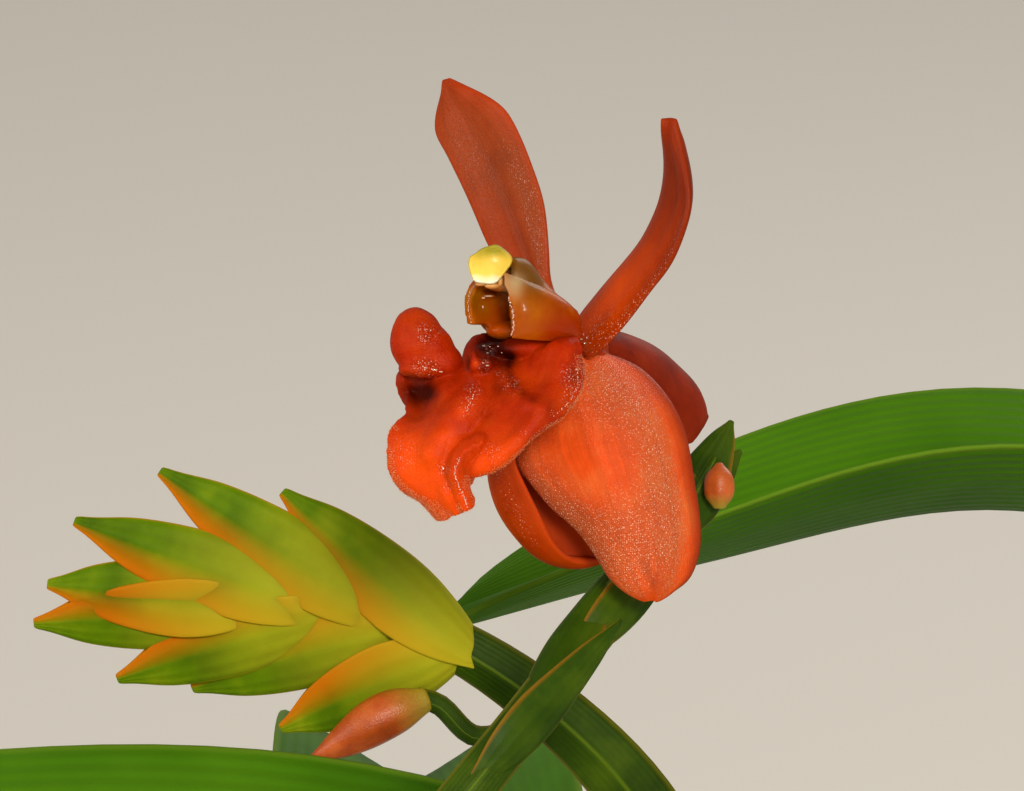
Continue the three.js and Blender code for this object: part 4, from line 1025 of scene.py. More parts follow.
def layDrops(piece, rows, singles, seed):
    # clear drops set on the front of a piece
    rng = random.Random(seed)
    spots = list(singles)
    for points, count, size in rows:
        line = Line([(x, 0.0, z) for x, z in points])
        for i in range(count):
            at = line.at((i + rng.random()) / count)
            x = at[0] + rng.gauss(0, 0.008)
            spots.append((x, at[2], size * rng.uniform(0.5, 1.2), size * rng.uniform(0.6, 1.5)))
    cloud = np.array([v.co[:] for v in piece.data.vertices])
    drops = []
    for x, z, wide, high in spots:
        front = frontAt(cloud, x, z)
        if front is not None:
            drops.append(ellipsoidPiece("drop", (x, front[1], z), (wide, min(wide, high), high), 8))
            drops[-1].data.materials.append(wetFilm)
    return drops


def makeColumn():
    hood = layGrid("columnSheet", *column["hoodGrid"], netSurface(column["hood"]))
    thicken(hood, column["hoodThickness"])
    bodies = [ellipsoidPiece("columnBody", centre, radii, 24) for centre, radii in column["bodies"]]
    body = remeshed(joinPieces([hood, *bodies], "columnBody"), column["voxel"])
    flat = netSurface(column["wing"])

    def wing(s, t):
        place = flat(s, t)
        scallop = column["scallops"][1] * math.sin(s * column["scallops"][0]) * ease(0.12, 0.0, t)
        return place + Vector((scallop, -abs(scallop), 0))

    sheet = layGrid("columnWing", *column["wingGrid"], wing, lambda s, t: clamp(min(s, 1 - s, t, 1 - t) * 6 + 0.25))
    thicken(sheet, column["wingThickness"], 0.3)
    smoothSurface(sheet, 1)
    for part in (body, sheet):
        part.data.materials.append(columnSkin)
    piece = joinPieces([body, sheet], "bloom_1_column")
    piece = closeMesh(joinPieces([piece, *layDrops(piece, column["dropRows"], column["drops"], 3)], "bloom_1_column"))
    places = [v.co for v in piece.data.vertices]
    for mark, values in (("along", "olive"), ("warm", "pale"), ("shade", "shade")):
        if mark in piece.data.attributes:
            piece.data.attributes.remove(piece.data.attributes[mark])
        markPoints(piece, mark, [spots(column[values], p.x, p.z) for p in places])
    return piece


# The anther cap is a ball pressed into the cap's outline, with a fine raised rim
cap = {
    "centre": (-1.93, -1.72, 1.7),
    "outline": [(-2.385, 1.85), (-2.243, 1.93), (-1.979, 2.073), (-1.858, 2.113), (-1.776, 2.105), (-1.655, 2.012),
                (-1.46, 1.809), (-1.492, 1.708), (-1.594, 1.566), (-1.695, 1.424), (-1.837, 1.282), (-2.06, 1.282),
                (-2.283, 1.322), (-2.365, 1.505)],
    "front": 0.3,
    "back": 0.34,
    "rim": 0.04,
    "pollinia": [((-2.14, -1.58, 1.28), (0.13, 0.1, 0.05)), ((-1.9, -1.6, 1.24), (0.17, 0.12, 0.07)),
                 ((-1.73, -1.66, 1.33), (0.06, 0.08, 0.1))],
}


def makeCap():
    cx, cy, cz = cap["centre"]
    turns = sorted((math.atan2(z - cz, x - cx), math.hypot(x - cx, z - cz)) for x, z in cap["outline"])
    angles = [turns[-1][0] - 2 * math.pi, *[a for a, r in turns], turns[0][0] + 2 * math.pi]
    radii = [turns[-1][1], *[r for a, r in turns], turns[0][1]]
    deselectAll()
    bpy.ops.mesh.primitive_uv_sphere_add(segments=40, ring_count=22, radius=1, rotation=(math.pi / 2, 0, 0))
    bpy.ops.object.transform_apply(location=False, rotation=True, scale=False)
    piece = newPiece("bloom_1_cap")
    heights = []
    for v in piece.data.vertices:
        x, y, z = v.co
        out = math.hypot(x, z)
        turn = math.atan2(z, x)
        reach = np.interp(turn, angles, radii) * min(out, 1.0) ** 0.85
        depth = cap["front"] * 0.7 * y if y < 0 else cap["back"] * y
        edge = -cap["rim"] * math.exp(-(((out - 0.93) / 0.07) ** 2)) if y < 0.1 else 0
        v.co = (cx + reach * math.cos(turn), cy + depth + edge, cz + reach * math.sin(turn))
        heights.append(clamp((v.co.z - cz + 0.42) / 0.84))
    markPoints(piece, "along", heights)
    piece.data.materials.append(capWax)
    lumps = [ellipsoidPiece("pollinium", centre, radii, 14) for centre, radii in cap["pollinia"]]
    for lump in lumps:
        lump.data.materials.append(pollenWax)
    piece = joinPieces([piece, *lumps], "bloom_1_cap")
    smoothSurface(piece, 1)
    return closeMesh(piece)


def thinOut(piece, share):
    # fewer faces in the flesh, while the papillae and drops keep theirs
    small = [i for i, material in enumerate(piece.data.materials) if material in (papillaSkin, wetFilm)]
    makeActive(piece)
    bpy.ops.object.mode_set(mode="EDIT")
    bpy.ops.mesh.select_mode(type="FACE")
    pickInEdit(piece, "polygons", lambda face: face.material_index not in small)
    bpy.ops.mesh.decimate(ratio=share)
    bpy.ops.object.mode_set(mode="OBJECT")


secondBloomFaces = 0.4  # the second bloom's share of the first one's faces


def makeBlooms():
    made = [(makePerianth(), "tepal", "sepals_petals"), (makeLip(), "lip", "lip"),
            (makeColumn(), "column", "column"), (makeCap(), "anther_cap", "anther_cap")]
    for piece, slot, node in made:
        second = piece.copy()
        second.data = piece.data.copy()
        second.name = second.data.name = piece.name.replace("_1_", "_2_")
        bpy.context.scene.collection.objects.link(second)
        thinOut(second, secondBloomFaces)
        for bloom, number, place in ((piece, 1, frontPlace), (second, 2, backPlace)):
            settle(bloom, place)
            declare(bloom, slot, f"flower_{number}_{node}")


makeBlooms()
print("two blooms made")

# Growths: where each pseudobulb stands, its size against the full one, and its leaf
bulb = {"height": 21, "radius": 5.2, "flatness": 0.8, "neck": 2.6, "apex": 1.9, "foot": 65.6, "sides": 40,
        "steps": 26, "shares": (0.82, 0.97, 1, 0.96, 0.88, 0.75, 0.6, 0.46), "furrow": 0.2, "lump": 0.12}
leaf = {"length": 132, "halfWidth": 4.9, "thickness": 0.42, "edge": 0.3, "fold": 0.95, "foot": 1.1, "sunk": 1.3,
        "longRows": 72, "rows": 36, "columns": 26, "wave": 0.22, "rib": 0.014,
        "widths": [0.24, 0.42, 0.74, 0.95, 1, 1, 0.98, 0.93, 0.8, 0.5]}
leafRight = [(-3.5, 37, -84), (0.5, 35, -72), (9, 31.5, -54), (17, 26, -34), (20.5, 20.5, -16), (17, 17, -6.1),
             (9.97, 16, -3.45), (2.4, 16, -4.75), (-2.9, 16, -6.15)]
leafBelow = [(19, 33, -84), (22, 24.5, -60), (19.5, 13.5, -38), (9.5, 7.6, -21), (-2.5, 6.2, -13.9),
             (-12.5, 5.5, -12.6), (-25, 4.5, -14.7), (-38, 2, -22), (-47, 0.5, -32)]
growths = [
    {"at": (-14, -14), "size": 1, "azimuth": 214, "length": 0.95, "leans": (12, 128, 1.5), "spike": True},
    {"at": (14, -5), "size": 0.97, "azimuth": -56, "length": 0.98, "leans": (11, 126, 1.5), "spike": True},
    {"at": (3, -6), "size": 0.95, "azimuth": -112, "length": 0.85, "leans": (12, 130, 1.5)},
    {"at": (0, 6), "size": 1.05, "azimuth": 180, "route": leafRight, "roll": 0.06, "farRise": (0.62, 1.15)},
    {"at": (14, 11), "size": 1, "azimuth": 38, "length": 1.02, "leans": (9, 122, 1.7), "spike": True},
    {"at": (-13, 0), "size": 0.9, "azimuth": 170, "length": 1, "leans": (8, 120, 1.8)},
    {"at": (2, 18), "size": 0.92, "azimuth": 92, "length": 0.96, "leans": (10, 124, 1.5)},
    {"at": (-13, 14), "size": 0.86, "azimuth": 132, "length": 0.92, "leans": (12, 118, 1.4)},
    {"at": (22, 3), "size": 0.84, "azimuth": 180, "route": leafBelow},
    {"at": (22, -14), "size": 0.8, "azimuth": -12, "length": 0.72, "leans": (24, 120, 1.2)},
    {"at": (-24, -4), "size": 0.66},
    {"at": (-2, -26), "size": 0.6},
]


def placed(place, points):
    return [tuple(place @ Vector(p)) for p in points]


def footOn(growth, side):
    turn = math.radians(growth["azimuth"])
    shift = side * (leaf["foot"] if growth.get("spike") else 0)
    x, y = growth["at"]
    return (x + shift * math.cos(turn), y + shift * math.sin(turn),
            bulb["foot"] + bulb["height"] * growth["size"] - leaf["sunk"])


def leafLine(growth):
    foot = footOn(growth, 1)
    if "route" in growth:
        return Line([foot, *placed(frontPlace, growth["route"])])
    azimuth = math.radians(growth["azimuth"])
    first, last, late = growth["leans"]
    steps = 24
    pace = leaf["length"] * growth["length"] / steps
    points = [Vector(foot)]
    for i in range(steps):
        lean = math.radians(mix(first, last, ((i + 0.5) / steps) ** late))
        reach = Vector((math.cos(azimuth) * math.sin(lean), math.sin(azimuth) * math.sin(lean), math.cos(lean)))
        points.append(points[-1] + reach * pace)
    return Line(points)


def makeLeaf(growth, number):
    turn = math.radians(growth["azimuth"])
    across = np.array([math.sin(turn), -math.cos(turn), 0.0])
    atTip = np.array([across[0], across[1], growth.get("roll", 0)])
    line = leafLine(growth)
    full = leaf["halfWidth"] * mix(0.8, 1, growth["size"])
    frames = {}

    def surface(s, t):
        key = round(t, 5)
        reach = 1 - (1 - t) ** 1.25
        if key not in frames:
            frames[key] = (line.at(reach), *bladeFrame(line, reach, mix(across, atTip, reach)))
        middle, side, face, tangent = frames[key]
        u = 2 * s - 1
        tip = math.sqrt(max(0.0, 1 - reach ** 26))
        width = full * along(leaf["widths"], reach) * max(tip, 0.06)
        crease = math.sqrt(u * u + 0.006) - 0.077  # the fold is rounded at the midrib
        wave = leaf["wave"] * math.sin(reach * 21 + number * 2 + (1 if u > 0 else 0)) * u * u * ease(0.1, 0.5, reach)
        ribs = leaf["rib"] * math.cos(u * 13 * math.pi) * (1 - abs(u))
        share = mix(*growth.get("farRise", (1, 1)), ease(0.87, 0.96, reach)) if u > 0 else 1
        rise = width * crease * leaf["fold"] * (1 - 0.4 * reach) * share + wave + ribs
        return Vector(middle + side * u * width + face * rise)

    def body(s, t):
        return clamp(min(s, 1 - s) * 5 + (0.5 if t < 0.1 else 0))

    rows = leaf["longRows"] if "route" in growth else leaf["rows"]
    piece = layGrid(f"leafBlade_{number}", rows, leaf["columns"], surface, body)
    thicken(piece, leaf["thickness"], leaf["edge"])
    smoothSurface(piece, 1)
    piece.data.materials.append(leafCuticle)
    return declare(settle(closeMesh(piece)), "leaf", f"leaf_{number}")


def bulbSkin():
    # Pseudobulb: a swollen stem, furrowed and waxy, green above and browner where it ages below
    material, tree, place = newMaterial("pseudobulb, furrowed green wax")
    cloud = addNode(tree, "TexNoise", {"Vector": place, "Scale": perMetre(5.0), "Detail": 5.0}).outputs["Fac"]
    ground = addNode(tree, "ValToRGB", {"Fac": cloud},
                     stops=[(0.3, "#5f7a1c"), (0.5, "#7e982e"), (0.72, "#9aac48")]).outputs[0]
    height = addNode(tree, "Attribute", attribute_name="along").outputs["Fac"]
    lower = addNode(tree, "ValToRGB", {"Fac": height}, stops=[(0.05, 0.85), (0.5, 0.0)])
    aged = addNode(tree, "Mix", {0: lower.outputs[0], 6: ground, 7: colour("#8a7434")}, data_type="RGBA")
    fibres = addNode(tree, "Mapping", {"Vector": place, "Scale": (perMetre(0.7), perMetre(0.7), perMetre(9.0))})
    threads = addNode(tree, "TexNoise", {"Vector": fibres.outputs[0], "Scale": 1.0, "Detail": 3.0}).outputs["Fac"]
    tone = addNode(tree, "ValToRGB", {"Fac": threads}, stops=[(0.35, 0.82), (0.62, 1.0)]).outputs[0]
    toned = addNode(tree, "Mix", {0: 1.0, 6: aged.outputs[2], 7: tone}, data_type="RGBA", blend_type="MULTIPLY")
    relief = addNode(tree, "Bump", {"Height": threads, "Strength": 0.4, "Distance": 0.25 * mm})
    return withShader(material, {
        "Base Color": toned.outputs[2],
        "Roughness": 0.4,
        "IOR": 1.45,
        "Subsurface Weight": 0.15,
        "Subsurface Radius": (0.6, 1.0, 0.2),
        "Subsurface Scale": 0.5 * mm,
        "Normal": relief.outputs[0],
    })


def sheathPaper():
    # Sheath: an old leaf base dried to brown paper, with fibres that run lengthways
    material, tree, place = newMaterial("sheath, dry brown paper")
    fibres = addNode(tree, "Mapping", {"Vector": place, "Scale": (perMetre(0.5), perMetre(0.5), perMetre(14.0))})
    threads = addNode(tree, "TexNoise", {"Vector": fibres.outputs[0], "Scale": 1.0, "Detail": 4.0}).outputs["Fac"]
    ground = addNode(tree, "ValToRGB", {"Fac": threads},
                     stops=[(0.3, "#7d6440"), (0.52, "#b29a6c"), (0.72, "#d6c49a")]).outputs[0]
    relief = addNode(tree, "Bump", {"Height": threads, "Strength": 0.7, "Distance": 0.15 * mm})
    return withShader(material, {"Base Color": ground, "Roughness": 0.65, "IOR": 1.5, "Subsurface Weight": 0.1,
                                 "Subsurface Scale": 0.2 * mm, "Normal": relief.outputs[0]})


waxSkin = bulbSkin()
dryPaper = sheathPaper()
sheath = {"heights": (0.55, 0.78), "clearance": 0.28, "thickness": 0.16, "span": 2.3, "grid": (14, 30)}


def bulbRadius(growth, t):
    full = bulb["radius"] * math.sqrt(growth["size"])
    return along([bulb["neck"], *[full * share for share in bulb["shares"]], bulb["apex"]], t)


def makeBulb(growth, number):
    height = bulb["height"] * growth["size"]
    x0, y0 = growth["at"]
    swing = x0 * 0.13
    rng = random.Random(100 + number)
    phase = rng.uniform(0, 6)

    def around(turn, radius, z):
        a, b = radius * math.cos(turn), radius * math.sin(turn) * bulb["flatness"]
        return Vector((x0 + a * math.cos(swing) - b * math.sin(swing),
                       y0 + a * math.sin(swing) + b * math.cos(swing), bulb["foot"] + z))

    def skin(turn, t):
        waves = math.cos(7 * turn + phase) + 0.5 * math.cos(13 * turn - phase * 2)
        furrow = bulb["furrow"] * math.sin(math.pi * t) * waves
        lump = bulb["lump"] * noise.noise(Vector((math.cos(turn) * 2 + number, math.sin(turn) * 2, t * 5)))
        return around(turn, bulbRadius(growth, t) + furrow * 0.6 + lump * t, t * height)

    body = layTube("bulb", bulb["sides"], bulb["steps"], skin)
    smoothSurface(body, 1)
    body.data.materials.append(waxSkin)
    pieces = [body]
    for k, share in enumerate(sheath["heights"]):
        top = height * share * rng.uniform(0.85, 1.0)
        middle = phase + k * 2.6
        span = sheath["span"] * rng.uniform(0.85, 1.05)

        def wrap(s, t):
            turn = middle + (s - 0.5) * 2 * span * (1 - 0.35 * t)
            ragged = 1 - 0.22 * abs(2 * s - 1) ** 1.5 - 0.06 * noise.noise(Vector((s * 9, number, k * 3)))
            z = 0.4 + top * t * ragged
            flare = sheath["clearance"] * (1 + k * 0.8) + 0.35 * t * t + 0.1 * math.sin(s * 19 + k)
            return around(turn, bulbRadius(growth, z / height) + flare, z)

        wrapper = layGrid("sheath", *sheath["grid"], wrap)
        thicken(wrapper, sheath["thickness"])
        wrapper.data.materials.append(dryPaper)
        pieces.append(wrapper)
    piece = closeMesh(joinPieces(pieces, f"bulb_{number}"))
    return declare(settle(piece), "pseudobulb", f"pseudobulb_{number}")


for number, growth in enumerate(growths, 1):
    makeBulb(growth, number)
    if "azimuth" in growth:
        makeLeaf(growth, number)
print("bulbs and leaves made")

# A spike is a flattened stalk with folded two-ranked bracts at its end, and a bud
stalk = {"halfWidth": 0.72, "halfThickness": 0.36, "thick": [1.6, 1.3, 1.1, 1, 1, 0.8], "sides": 20, "steps": 110,
         "stalklet": 0.24}
bract = {"halfWidth": 0.62, "thickness": 0.1, "edge": 0.45, "depths": [0.25, 1, 0.85, 0.5, 0.12], "grid": (26, 20),
         "coarseGrid": (16, 14)}


def makeSpike(number, shape, stalkMaterial, bractMaterial):
    line = Line(shape["route"])
    facing = np.array(shape["facing"])

    def skin(turn, t):
        side, face, tangent = stemFrame(line, t, facing)
        wide = stalk["halfWidth"] * along(shape["widths"], t)
        deep = stalk["halfThickness"] * along(stalk["thick"], t)
        # flattened to two edges, with a blunt keel along each face
        ridge = 0.3 * math.exp(-(((abs(math.sin(turn)) - 1) / 0.05) ** 2))
        return Vector(line.at(t) + side * math.cos(turn) * wide + face * math.sin(turn) * deep * (0.85 + ridge))

    body = layTube("stalk", stalk["sides"], stalk["steps"], skin)
    smoothSurface(body, 1)
    body.data.materials.append(stalkMaterial)
    pieces = [body]
    last = len(shape["bracts"]) - 1
    for i, (before, angle, reach) in enumerate(shape["bracts"]):
        start = 1 - before / line.length
        root = line.at(start)
        side, face, tangent = stemFrame(line, start, facing)
        turn = math.radians(angle)
        outer = 1 if angle >= 0 else -1
        middle = Line([root + tangent * reach * far * math.cos(turn) + side * reach * far * math.sin(turn) * share
                       for far, share in ((-0.1, 1), (0.3, 0.85), (0.65, 0.95), (1, 1))])
        depth = mix(*shape["bractDepths"], i / last) / 2

        def fold(s, t):
            u = 2 * s - 1
            ahead = middle.tangent(min(t, 0.99))
            across = unit(side - ahead * side.dot(ahead)) * outer
            wide = bract["halfWidth"] * shape["bractWidth"] * along(shape["bractWidths"], t)
            spread = depth * along(bract["depths"], t)
            keel = middle.at(t) + across * wide
            return Vector(keel - across * 2 * wide * abs(u) ** 1.6 + face * spread * math.sin(u * math.pi / 2))

        flank = layGrid("bract", *shape["grid"], fold, lambda s, t: clamp(min(s, 1 - s) * 7 + 0.1))
        thicken(flank, bract["thickness"], bract["edge"])
        smoothSurface(flank, 1)
        flank.data.materials.append(bractMaterial)
        pieces.append(flank)
    if "stalklet" in shape:
        stalkletLine = Line(shape["stalklet"])
        stalklet = layTube("stalklet", 14, 16, lambda turn, t: stemPoint(stalkletLine, turn, t, stalk["stalklet"]))
        stalklet.data.materials.append(stalkMaterial)
        pieces.append(stalklet)
    piece = closeMesh(joinPieces(pieces, f"flowerStalk_{number}"))
    return declare(settle(piece), "spike", f"spike_{number}")


def makeBud(number, line, radii, facing=(0.0, 1.0, 0.0)):
    # three sepals meet at shallow seams along the bud
    def skin(turn, t):
        radius = along(radii, t) * (1 - 0.07 * math.exp(-((math.sin(1.5 * turn) / 0.25) ** 2)))
        return stemPoint(line, turn, t, radius, facing)

    piece = layTube(f"flowerBud_{number}", 30, 22, skin)
    smoothSurface(piece, 1)
    piece.data.materials.append(budSkin)
    return declare(settle(closeMesh(piece)), "bud", f"spike_{number}_bud")


rachis = [(-2.42, -0.9, -9.46), (-1.42, -0.2, -8.23), (-0.38, 0.8, -6.89), (0.64, 1.7, -5.66), (1.6, 2.3, -4.45),
          (2.4, 2.7, -3.29), (2.97, 2.9, -2.23)]
closeBracts = [(9.3, 3, 4.6), (7.4, -5, 4.4), (5.4, 3, 4.2), (3.4, -6, 3.8), (2, 5, 2.3), (1.2, -4, 1.9)]
budAbove = [(2.95, 2.1, -3.5), (2.95, 2.1, -3.25), (2.95, 2.1, -3.0), (2.95, 2.1, -2.75), (2.95, 2.1, -2.5)]
budBeside = [(-3.3, 10.6, -7.75), (-4.3, 10.5, -8.15), (-5.2, 10.5, -8.7), (-5.9, 10.5, -9.1)]
fanRoute = [(4.2, 14.8, -19), (2.9, 13.2, -13.5), (1.3, 11.8, -10), (-1.4, 11, -7.4), (-4.05, 11, -6),
            (-5.8, 11, -5.75), (-7.6, 11, -5.7)]
fanBracts = [(5.5, 10, 5.6), (5.2, -53, 4.5), (3.6, 14, 6.2), (4, -38, 5.2), (2.1, 15, 6), (2.4, -22, 5.3),
             (0.6, 5, 4.8), (0.9, -5, 5.4)]
flowerWidths = [1.1, 1, 0.85, 0.7, 0.55, 0.6, 0.8, 0.6]


def makeFlowerSpike(number, place, growth, lower, grid):
    facing = tuple(place.to_3x3() @ Vector((0, 1, 0)))
    makeSpike(number, {
        "route": [footOn(growth, -1), *lower, *placed(place, rachis)],
        "facing": facing,
        "grid": grid,
        "widths": flowerWidths,
        "bracts": closeBracts,
        "bractWidth": 0.78,
        "bractWidths": [0.35, 0.85, 1, 0.8, 0.5, 0.06],
        "bractDepths": (1.0, 0.62),
    }, stalkSkin, bractSkin)
    makeBud(number, Line(placed(place, budAbove)), [0.12, 0.3, 0.34, 0.28, 0.06], facing)


makeFlowerSpike(1, frontPlace, growths[0], [(-15, -13.5, 108), (-16, -14.5, 130), (-12, -16, 153), (-5, -16.6, 168)],
                bract["grid"])
makeFlowerSpike(3, backPlace, growths[4], [(13, 12, 108), (17, 17, 130), (25, 24, 149)], bract["coarseGrid"])
makeSpike(2, {
    "route": [footOn(growths[1], -1), (15, -4.6, 112), (14, -4, 138), (11, -3.2, 156), *placed(frontPlace, fanRoute)],
    "facing": (0.0, 1.0, 0.0),
    "grid": bract["grid"],
    "widths": [1.2, 1, 0.9, 0.9, 1, 1.2, 1.3, 0.6],
    "bracts": fanBracts,
    "bractWidth": 1.25,
    "bractWidths": [0.1, 0.72, 1.05, 1.0, 0.7, 0.12],
    "bractDepths": (1.15, 0.7),
    "stalklet": placed(frontPlace, [(-0.9, 11, -8.3), (-2.3, 10.8, -8.6), (-3.1, 10.7, -7.9), (-3.6, 10.6, -7.75)]),
}, stalkSkin, fanSkin)
makeBud(2, Line(placed(frontPlace, budBeside)), [0.26, 0.5, 0.52, 0.36, 0.1])
print("spikes and buds made")

# The rhizome runs from bulb to bulb, by their numbers here, and the roots start anywhere on it
rhizome = {"radius": 1.53, "height": 63.6, "ringGap": 3.2,
           "branches": [[11, 0, 2, 1, 9], [10, 5, 3, 4, 8], [7, 6, 4], [2, 3]]}
roots = {"count": 30, "radius": (0.62, 0.4), "steps": 9, "pace": 2.6, "reach": 32, "height": 65.2, "dive": 2.5}


def rootVelamen():
    # Root: a thick stem with a matt, silvery cork-like skin
    material, tree, place = newMaterial("root, silvery velamen")
    cloud = addNode(tree, "TexNoise", {"Vector": place, "Scale": perMetre(1.6), "Detail": 5.0}).outputs["Fac"]
    ground = addNode(tree, "ValToRGB", {"Fac": cloud},
                     stops=[(0.3, "#8a7a58"), (0.5, "#b5aa86"), (0.7, "#cdc6aa")]).outputs[0]
    relief = addNode(tree, "Bump", {"Height": cloud, "Strength": 0.6, "Distance": 0.2 * mm})
    return withShader(material, {"Base Color": ground, "Roughness": 0.7, "IOR": 1.45, "Normal": relief.outputs[0]})


velamen = rootVelamen()


def makeRhizome():
    pieces = []
    up = (0.0, 0.0, 1.0)
    for order in rhizome["branches"]:
        line = Line([(*growths[i]["at"], rhizome["height"]) for i in order])
        nodes = int(line.length / rhizome["ringGap"])

        def skin(turn, t):
            ring = 1 + 0.1 * math.exp(-((math.sin(t * nodes * math.pi) / 0.2) ** 2))
            return stemPoint(line, turn, t, rhizome["radius"] * ring, up)

        pieces.append(layTube("branch", 14, nodes * 6, skin))
    rng = random.Random(42)
    for k in range(roots["count"]):
        order = rng.choice(rhizome["branches"])
        line = Line([(*growths[i]["at"], rhizome["height"]) for i in order])
        place = Vector(line.at(rng.random()))
        heading = rng.uniform(0, 2 * math.pi)
        points = [place]
        for i in range(roots["steps"]):
            heading += rng.uniform(-0.5, 0.5)
            place = place + Vector((math.cos(heading), math.sin(heading), 0)) * roots["pace"]
            if math.hypot(place.x, place.y) > roots["reach"]:
                break
            dive = roots["dive"] if i == roots["steps"] - 1 else 0
            place.z = roots["height"] + 0.9 * math.sin(i * 1.7 + k) - 0.5 * i / roots["steps"] - dive
            points.append(place.copy())
        if len(points) < 4:
            continue
        path = Line(points)

        def rootSkin(turn, t):
            lump = 0.08 * noise.noise(Vector((t * 20, k, 0)))
            return stemPoint(path, turn, t, mix(*roots["radius"], t) * (1 + lump) * (1 if t < 0.97 else 0.6), up)

        pieces.append(layTube("root", 10, 26, rootSkin))
    piece = joinPieces(pieces, "rhizomeRoots")
    piece.data.materials.append(velamen)
    return declare(settle(closeMesh(piece)), "rhizome", "rhizome")


makeRhizome()

# Bark: rough slabs, each a copy of one of a few chopped blocks, over a bed of finer crumbs
bark = {"chips": 150, "masters": 6, "size": (12.5, 8.5, 3.6), "level": 63, "reach": 32.0, "layers": (-1.2, 0.3, 1.2),
        "lean": 0.32, "clearing": 8, "rough": 0.35, "bedRadius": 33.6, "bedRings": 9}


def barkWood():
    # Bark: chopped pine bark, red-brown and corky, in layers
    material, tree, place = newMaterial("bark, chopped pine")
    browns = [(0.3, "#2e1a0e"), (0.47, "#5d3a22"), (0.6, "#7d5030"), (0.76, "#a27a52")]
    cloud = addNode(tree, "TexNoise", {"Vector": place, "Scale": perMetre(7.0), "Detail": 6.0,
                                       "Roughness": 0.65}).outputs["Fac"]
    ground = addNode(tree, "ValToRGB", {"Fac": cloud}, stops=browns).outputs[0]
    layers = addNode(tree, "TexNoise", {"Vector": place, "Scale": perMetre(1.1), "Detail": 5.0,
                                        "Distortion": 0.6}).outputs["Fac"]
    tone = addNode(tree, "ValToRGB", {"Fac": layers}, stops=[(0.36, 0.5), (0.6, 1.0)]).outputs[0]
    toned = addNode(tree, "Mix", {0: 1.0, 6: ground, 7: tone}, data_type="RGBA", blend_type="MULTIPLY")
    relief = addNode(tree, "Bump", {"Height": layers, "Strength": 0.9, "Distance": 0.6 * mm})
    return withShader(material, {"Base Color": toned.outputs[2], "Roughness": 0.85, "IOR": 1.5,
                                 "Normal": relief.outputs[0]})


def makeChipMaster(rng):
    # a block with its corners cut off at chance angles, then roughened
    deselectAll()
    bpy.ops.mesh.primitive_cube_add(size=1)
    chip = bpy.context.object
    chip.data.transform(Matrix.Diagonal((*bark["size"], 1)))
    bpy.ops.object.mode_set(mode="EDIT")
    for _ in range(4):
        turn = rng.uniform(0, 2 * math.pi)
        away = Vector((math.cos(turn), math.sin(turn), rng.uniform(-0.4, 0.4)))
        corner = Vector((math.cos(turn) * bark["size"][0] * 0.4, math.sin(turn) * bark["size"][1] * 0.4, 0))
        at = corner * rng.uniform(0.75, 1.05)
        bpy.ops.mesh.select_all(action="SELECT")
        bpy.ops.mesh.bisect(plane_co=at, plane_no=away, use_fill=True, clear_outer=True)
    bpy.ops.mesh.select_all(action="SELECT")
    bpy.ops.mesh.quads_convert_to_tris()
    bpy.ops.mesh.subdivide(number_cuts=2, fractal=0.5, seed=rng.randrange(99))
    bpy.ops.object.mode_set(mode="OBJECT")
    for v in chip.data.vertices:
        v.co += v.co.normalized() * bark["rough"] * noise.noise(v.co * 0.6)
        v.co.z += bark["rough"] * noise.noise(Vector((v.co.x * 0.5, v.co.y * 0.9, 7.0)))
    return chip


def makeBark():
    rng = random.Random(7)
    masters = [makeChipMaster(rng) for _ in range(bark["masters"])]
    chips = []
    for i in range(bark["chips"]):
        reach = bark["reach"] * math.sqrt((i + 0.5) / bark["chips"]) * 0.93
        turn = i * 2.39996  # the golden angle, which spreads them evenly
        chip = masters[i % bark["masters"]].copy()
        chip.data = chip.data.copy()
        bpy.context.scene.collection.objects.link(chip)
        size = rng.uniform(0.5, 0.95)
        x, y = reach * math.cos(turn), reach * math.sin(turn)
        z = bark["level"] + bark["layers"][i % 3] + rng.uniform(-0.4, 0.5)
        if any(math.hypot(x - growth["at"][0], y - growth["at"][1]) < bark["clearing"] for growth in growths):
            z = min(z, bark["level"] - 0.6)
        leans = [rng.uniform(-bark["lean"], bark["lean"]) for _ in range(2)]
        lean = Matrix.Rotation(leans[0], 4, "X") @ Matrix.Rotation(leans[1], 4, "Y")
        spin = Matrix.Rotation(rng.uniform(0, math.pi * 2), 4, "Z")
        chip.data.transform(Matrix.Translation((x, y, z)) @ lean @ spin @ Matrix.Scale(size, 4))
        chips.append(chip)
    for master in masters:
        bpy.data.objects.remove(master)
    deselectAll()
    bpy.ops.mesh.primitive_cylinder_add(vertices=64, radius=bark["bedRadius"], depth=2, end_fill_type="NGON")
    bed = bpy.context.object
    pickInEdit(bed, "polygons", lambda face: face.normal.z > 0.9)
    for _ in range(bark["bedRings"]):
        bpy.ops.mesh.inset(thickness=bark["bedRadius"] / (bark["bedRings"] + 1.5))
    bpy.ops.mesh.select_all(action="SELECT")
    bpy.ops.mesh.quads_convert_to_tris()
    bpy.ops.object.mode_set(mode="OBJECT")
    for v in bed.data.vertices:
        if v.co.z > 0:
            v.co.z = bark["level"] - 0.4 + 1.0 * noise.noise(Vector((v.co.x * 0.35, v.co.y * 0.35, 0)))
        else:
            v.co = Vector((v.co.x * 0.7, v.co.y * 0.7, 6.0))
    piece = joinPieces([bed, *chips], "barkChips")
    piece.data.materials.append(barkWood())
    makeActive(piece)
    bpy.ops.object.shade_smooth_by_angle(angle=math.radians(38))
    return declare(settle(piece), "bark", "bark")


makeBark()
print("roots and bark made")

# The pot is thrown ring by ring, from its foot up the outside and down the inside
pot = {"height": 72, "baseRadius": 28, "rimRadius": 41, "wall": 3.6, "floor": 5, "band": 15, "bandStep": 2.2,
       "drainRadius": 3.5, "drainRing": 14, "drains": 4, "steps": 96}


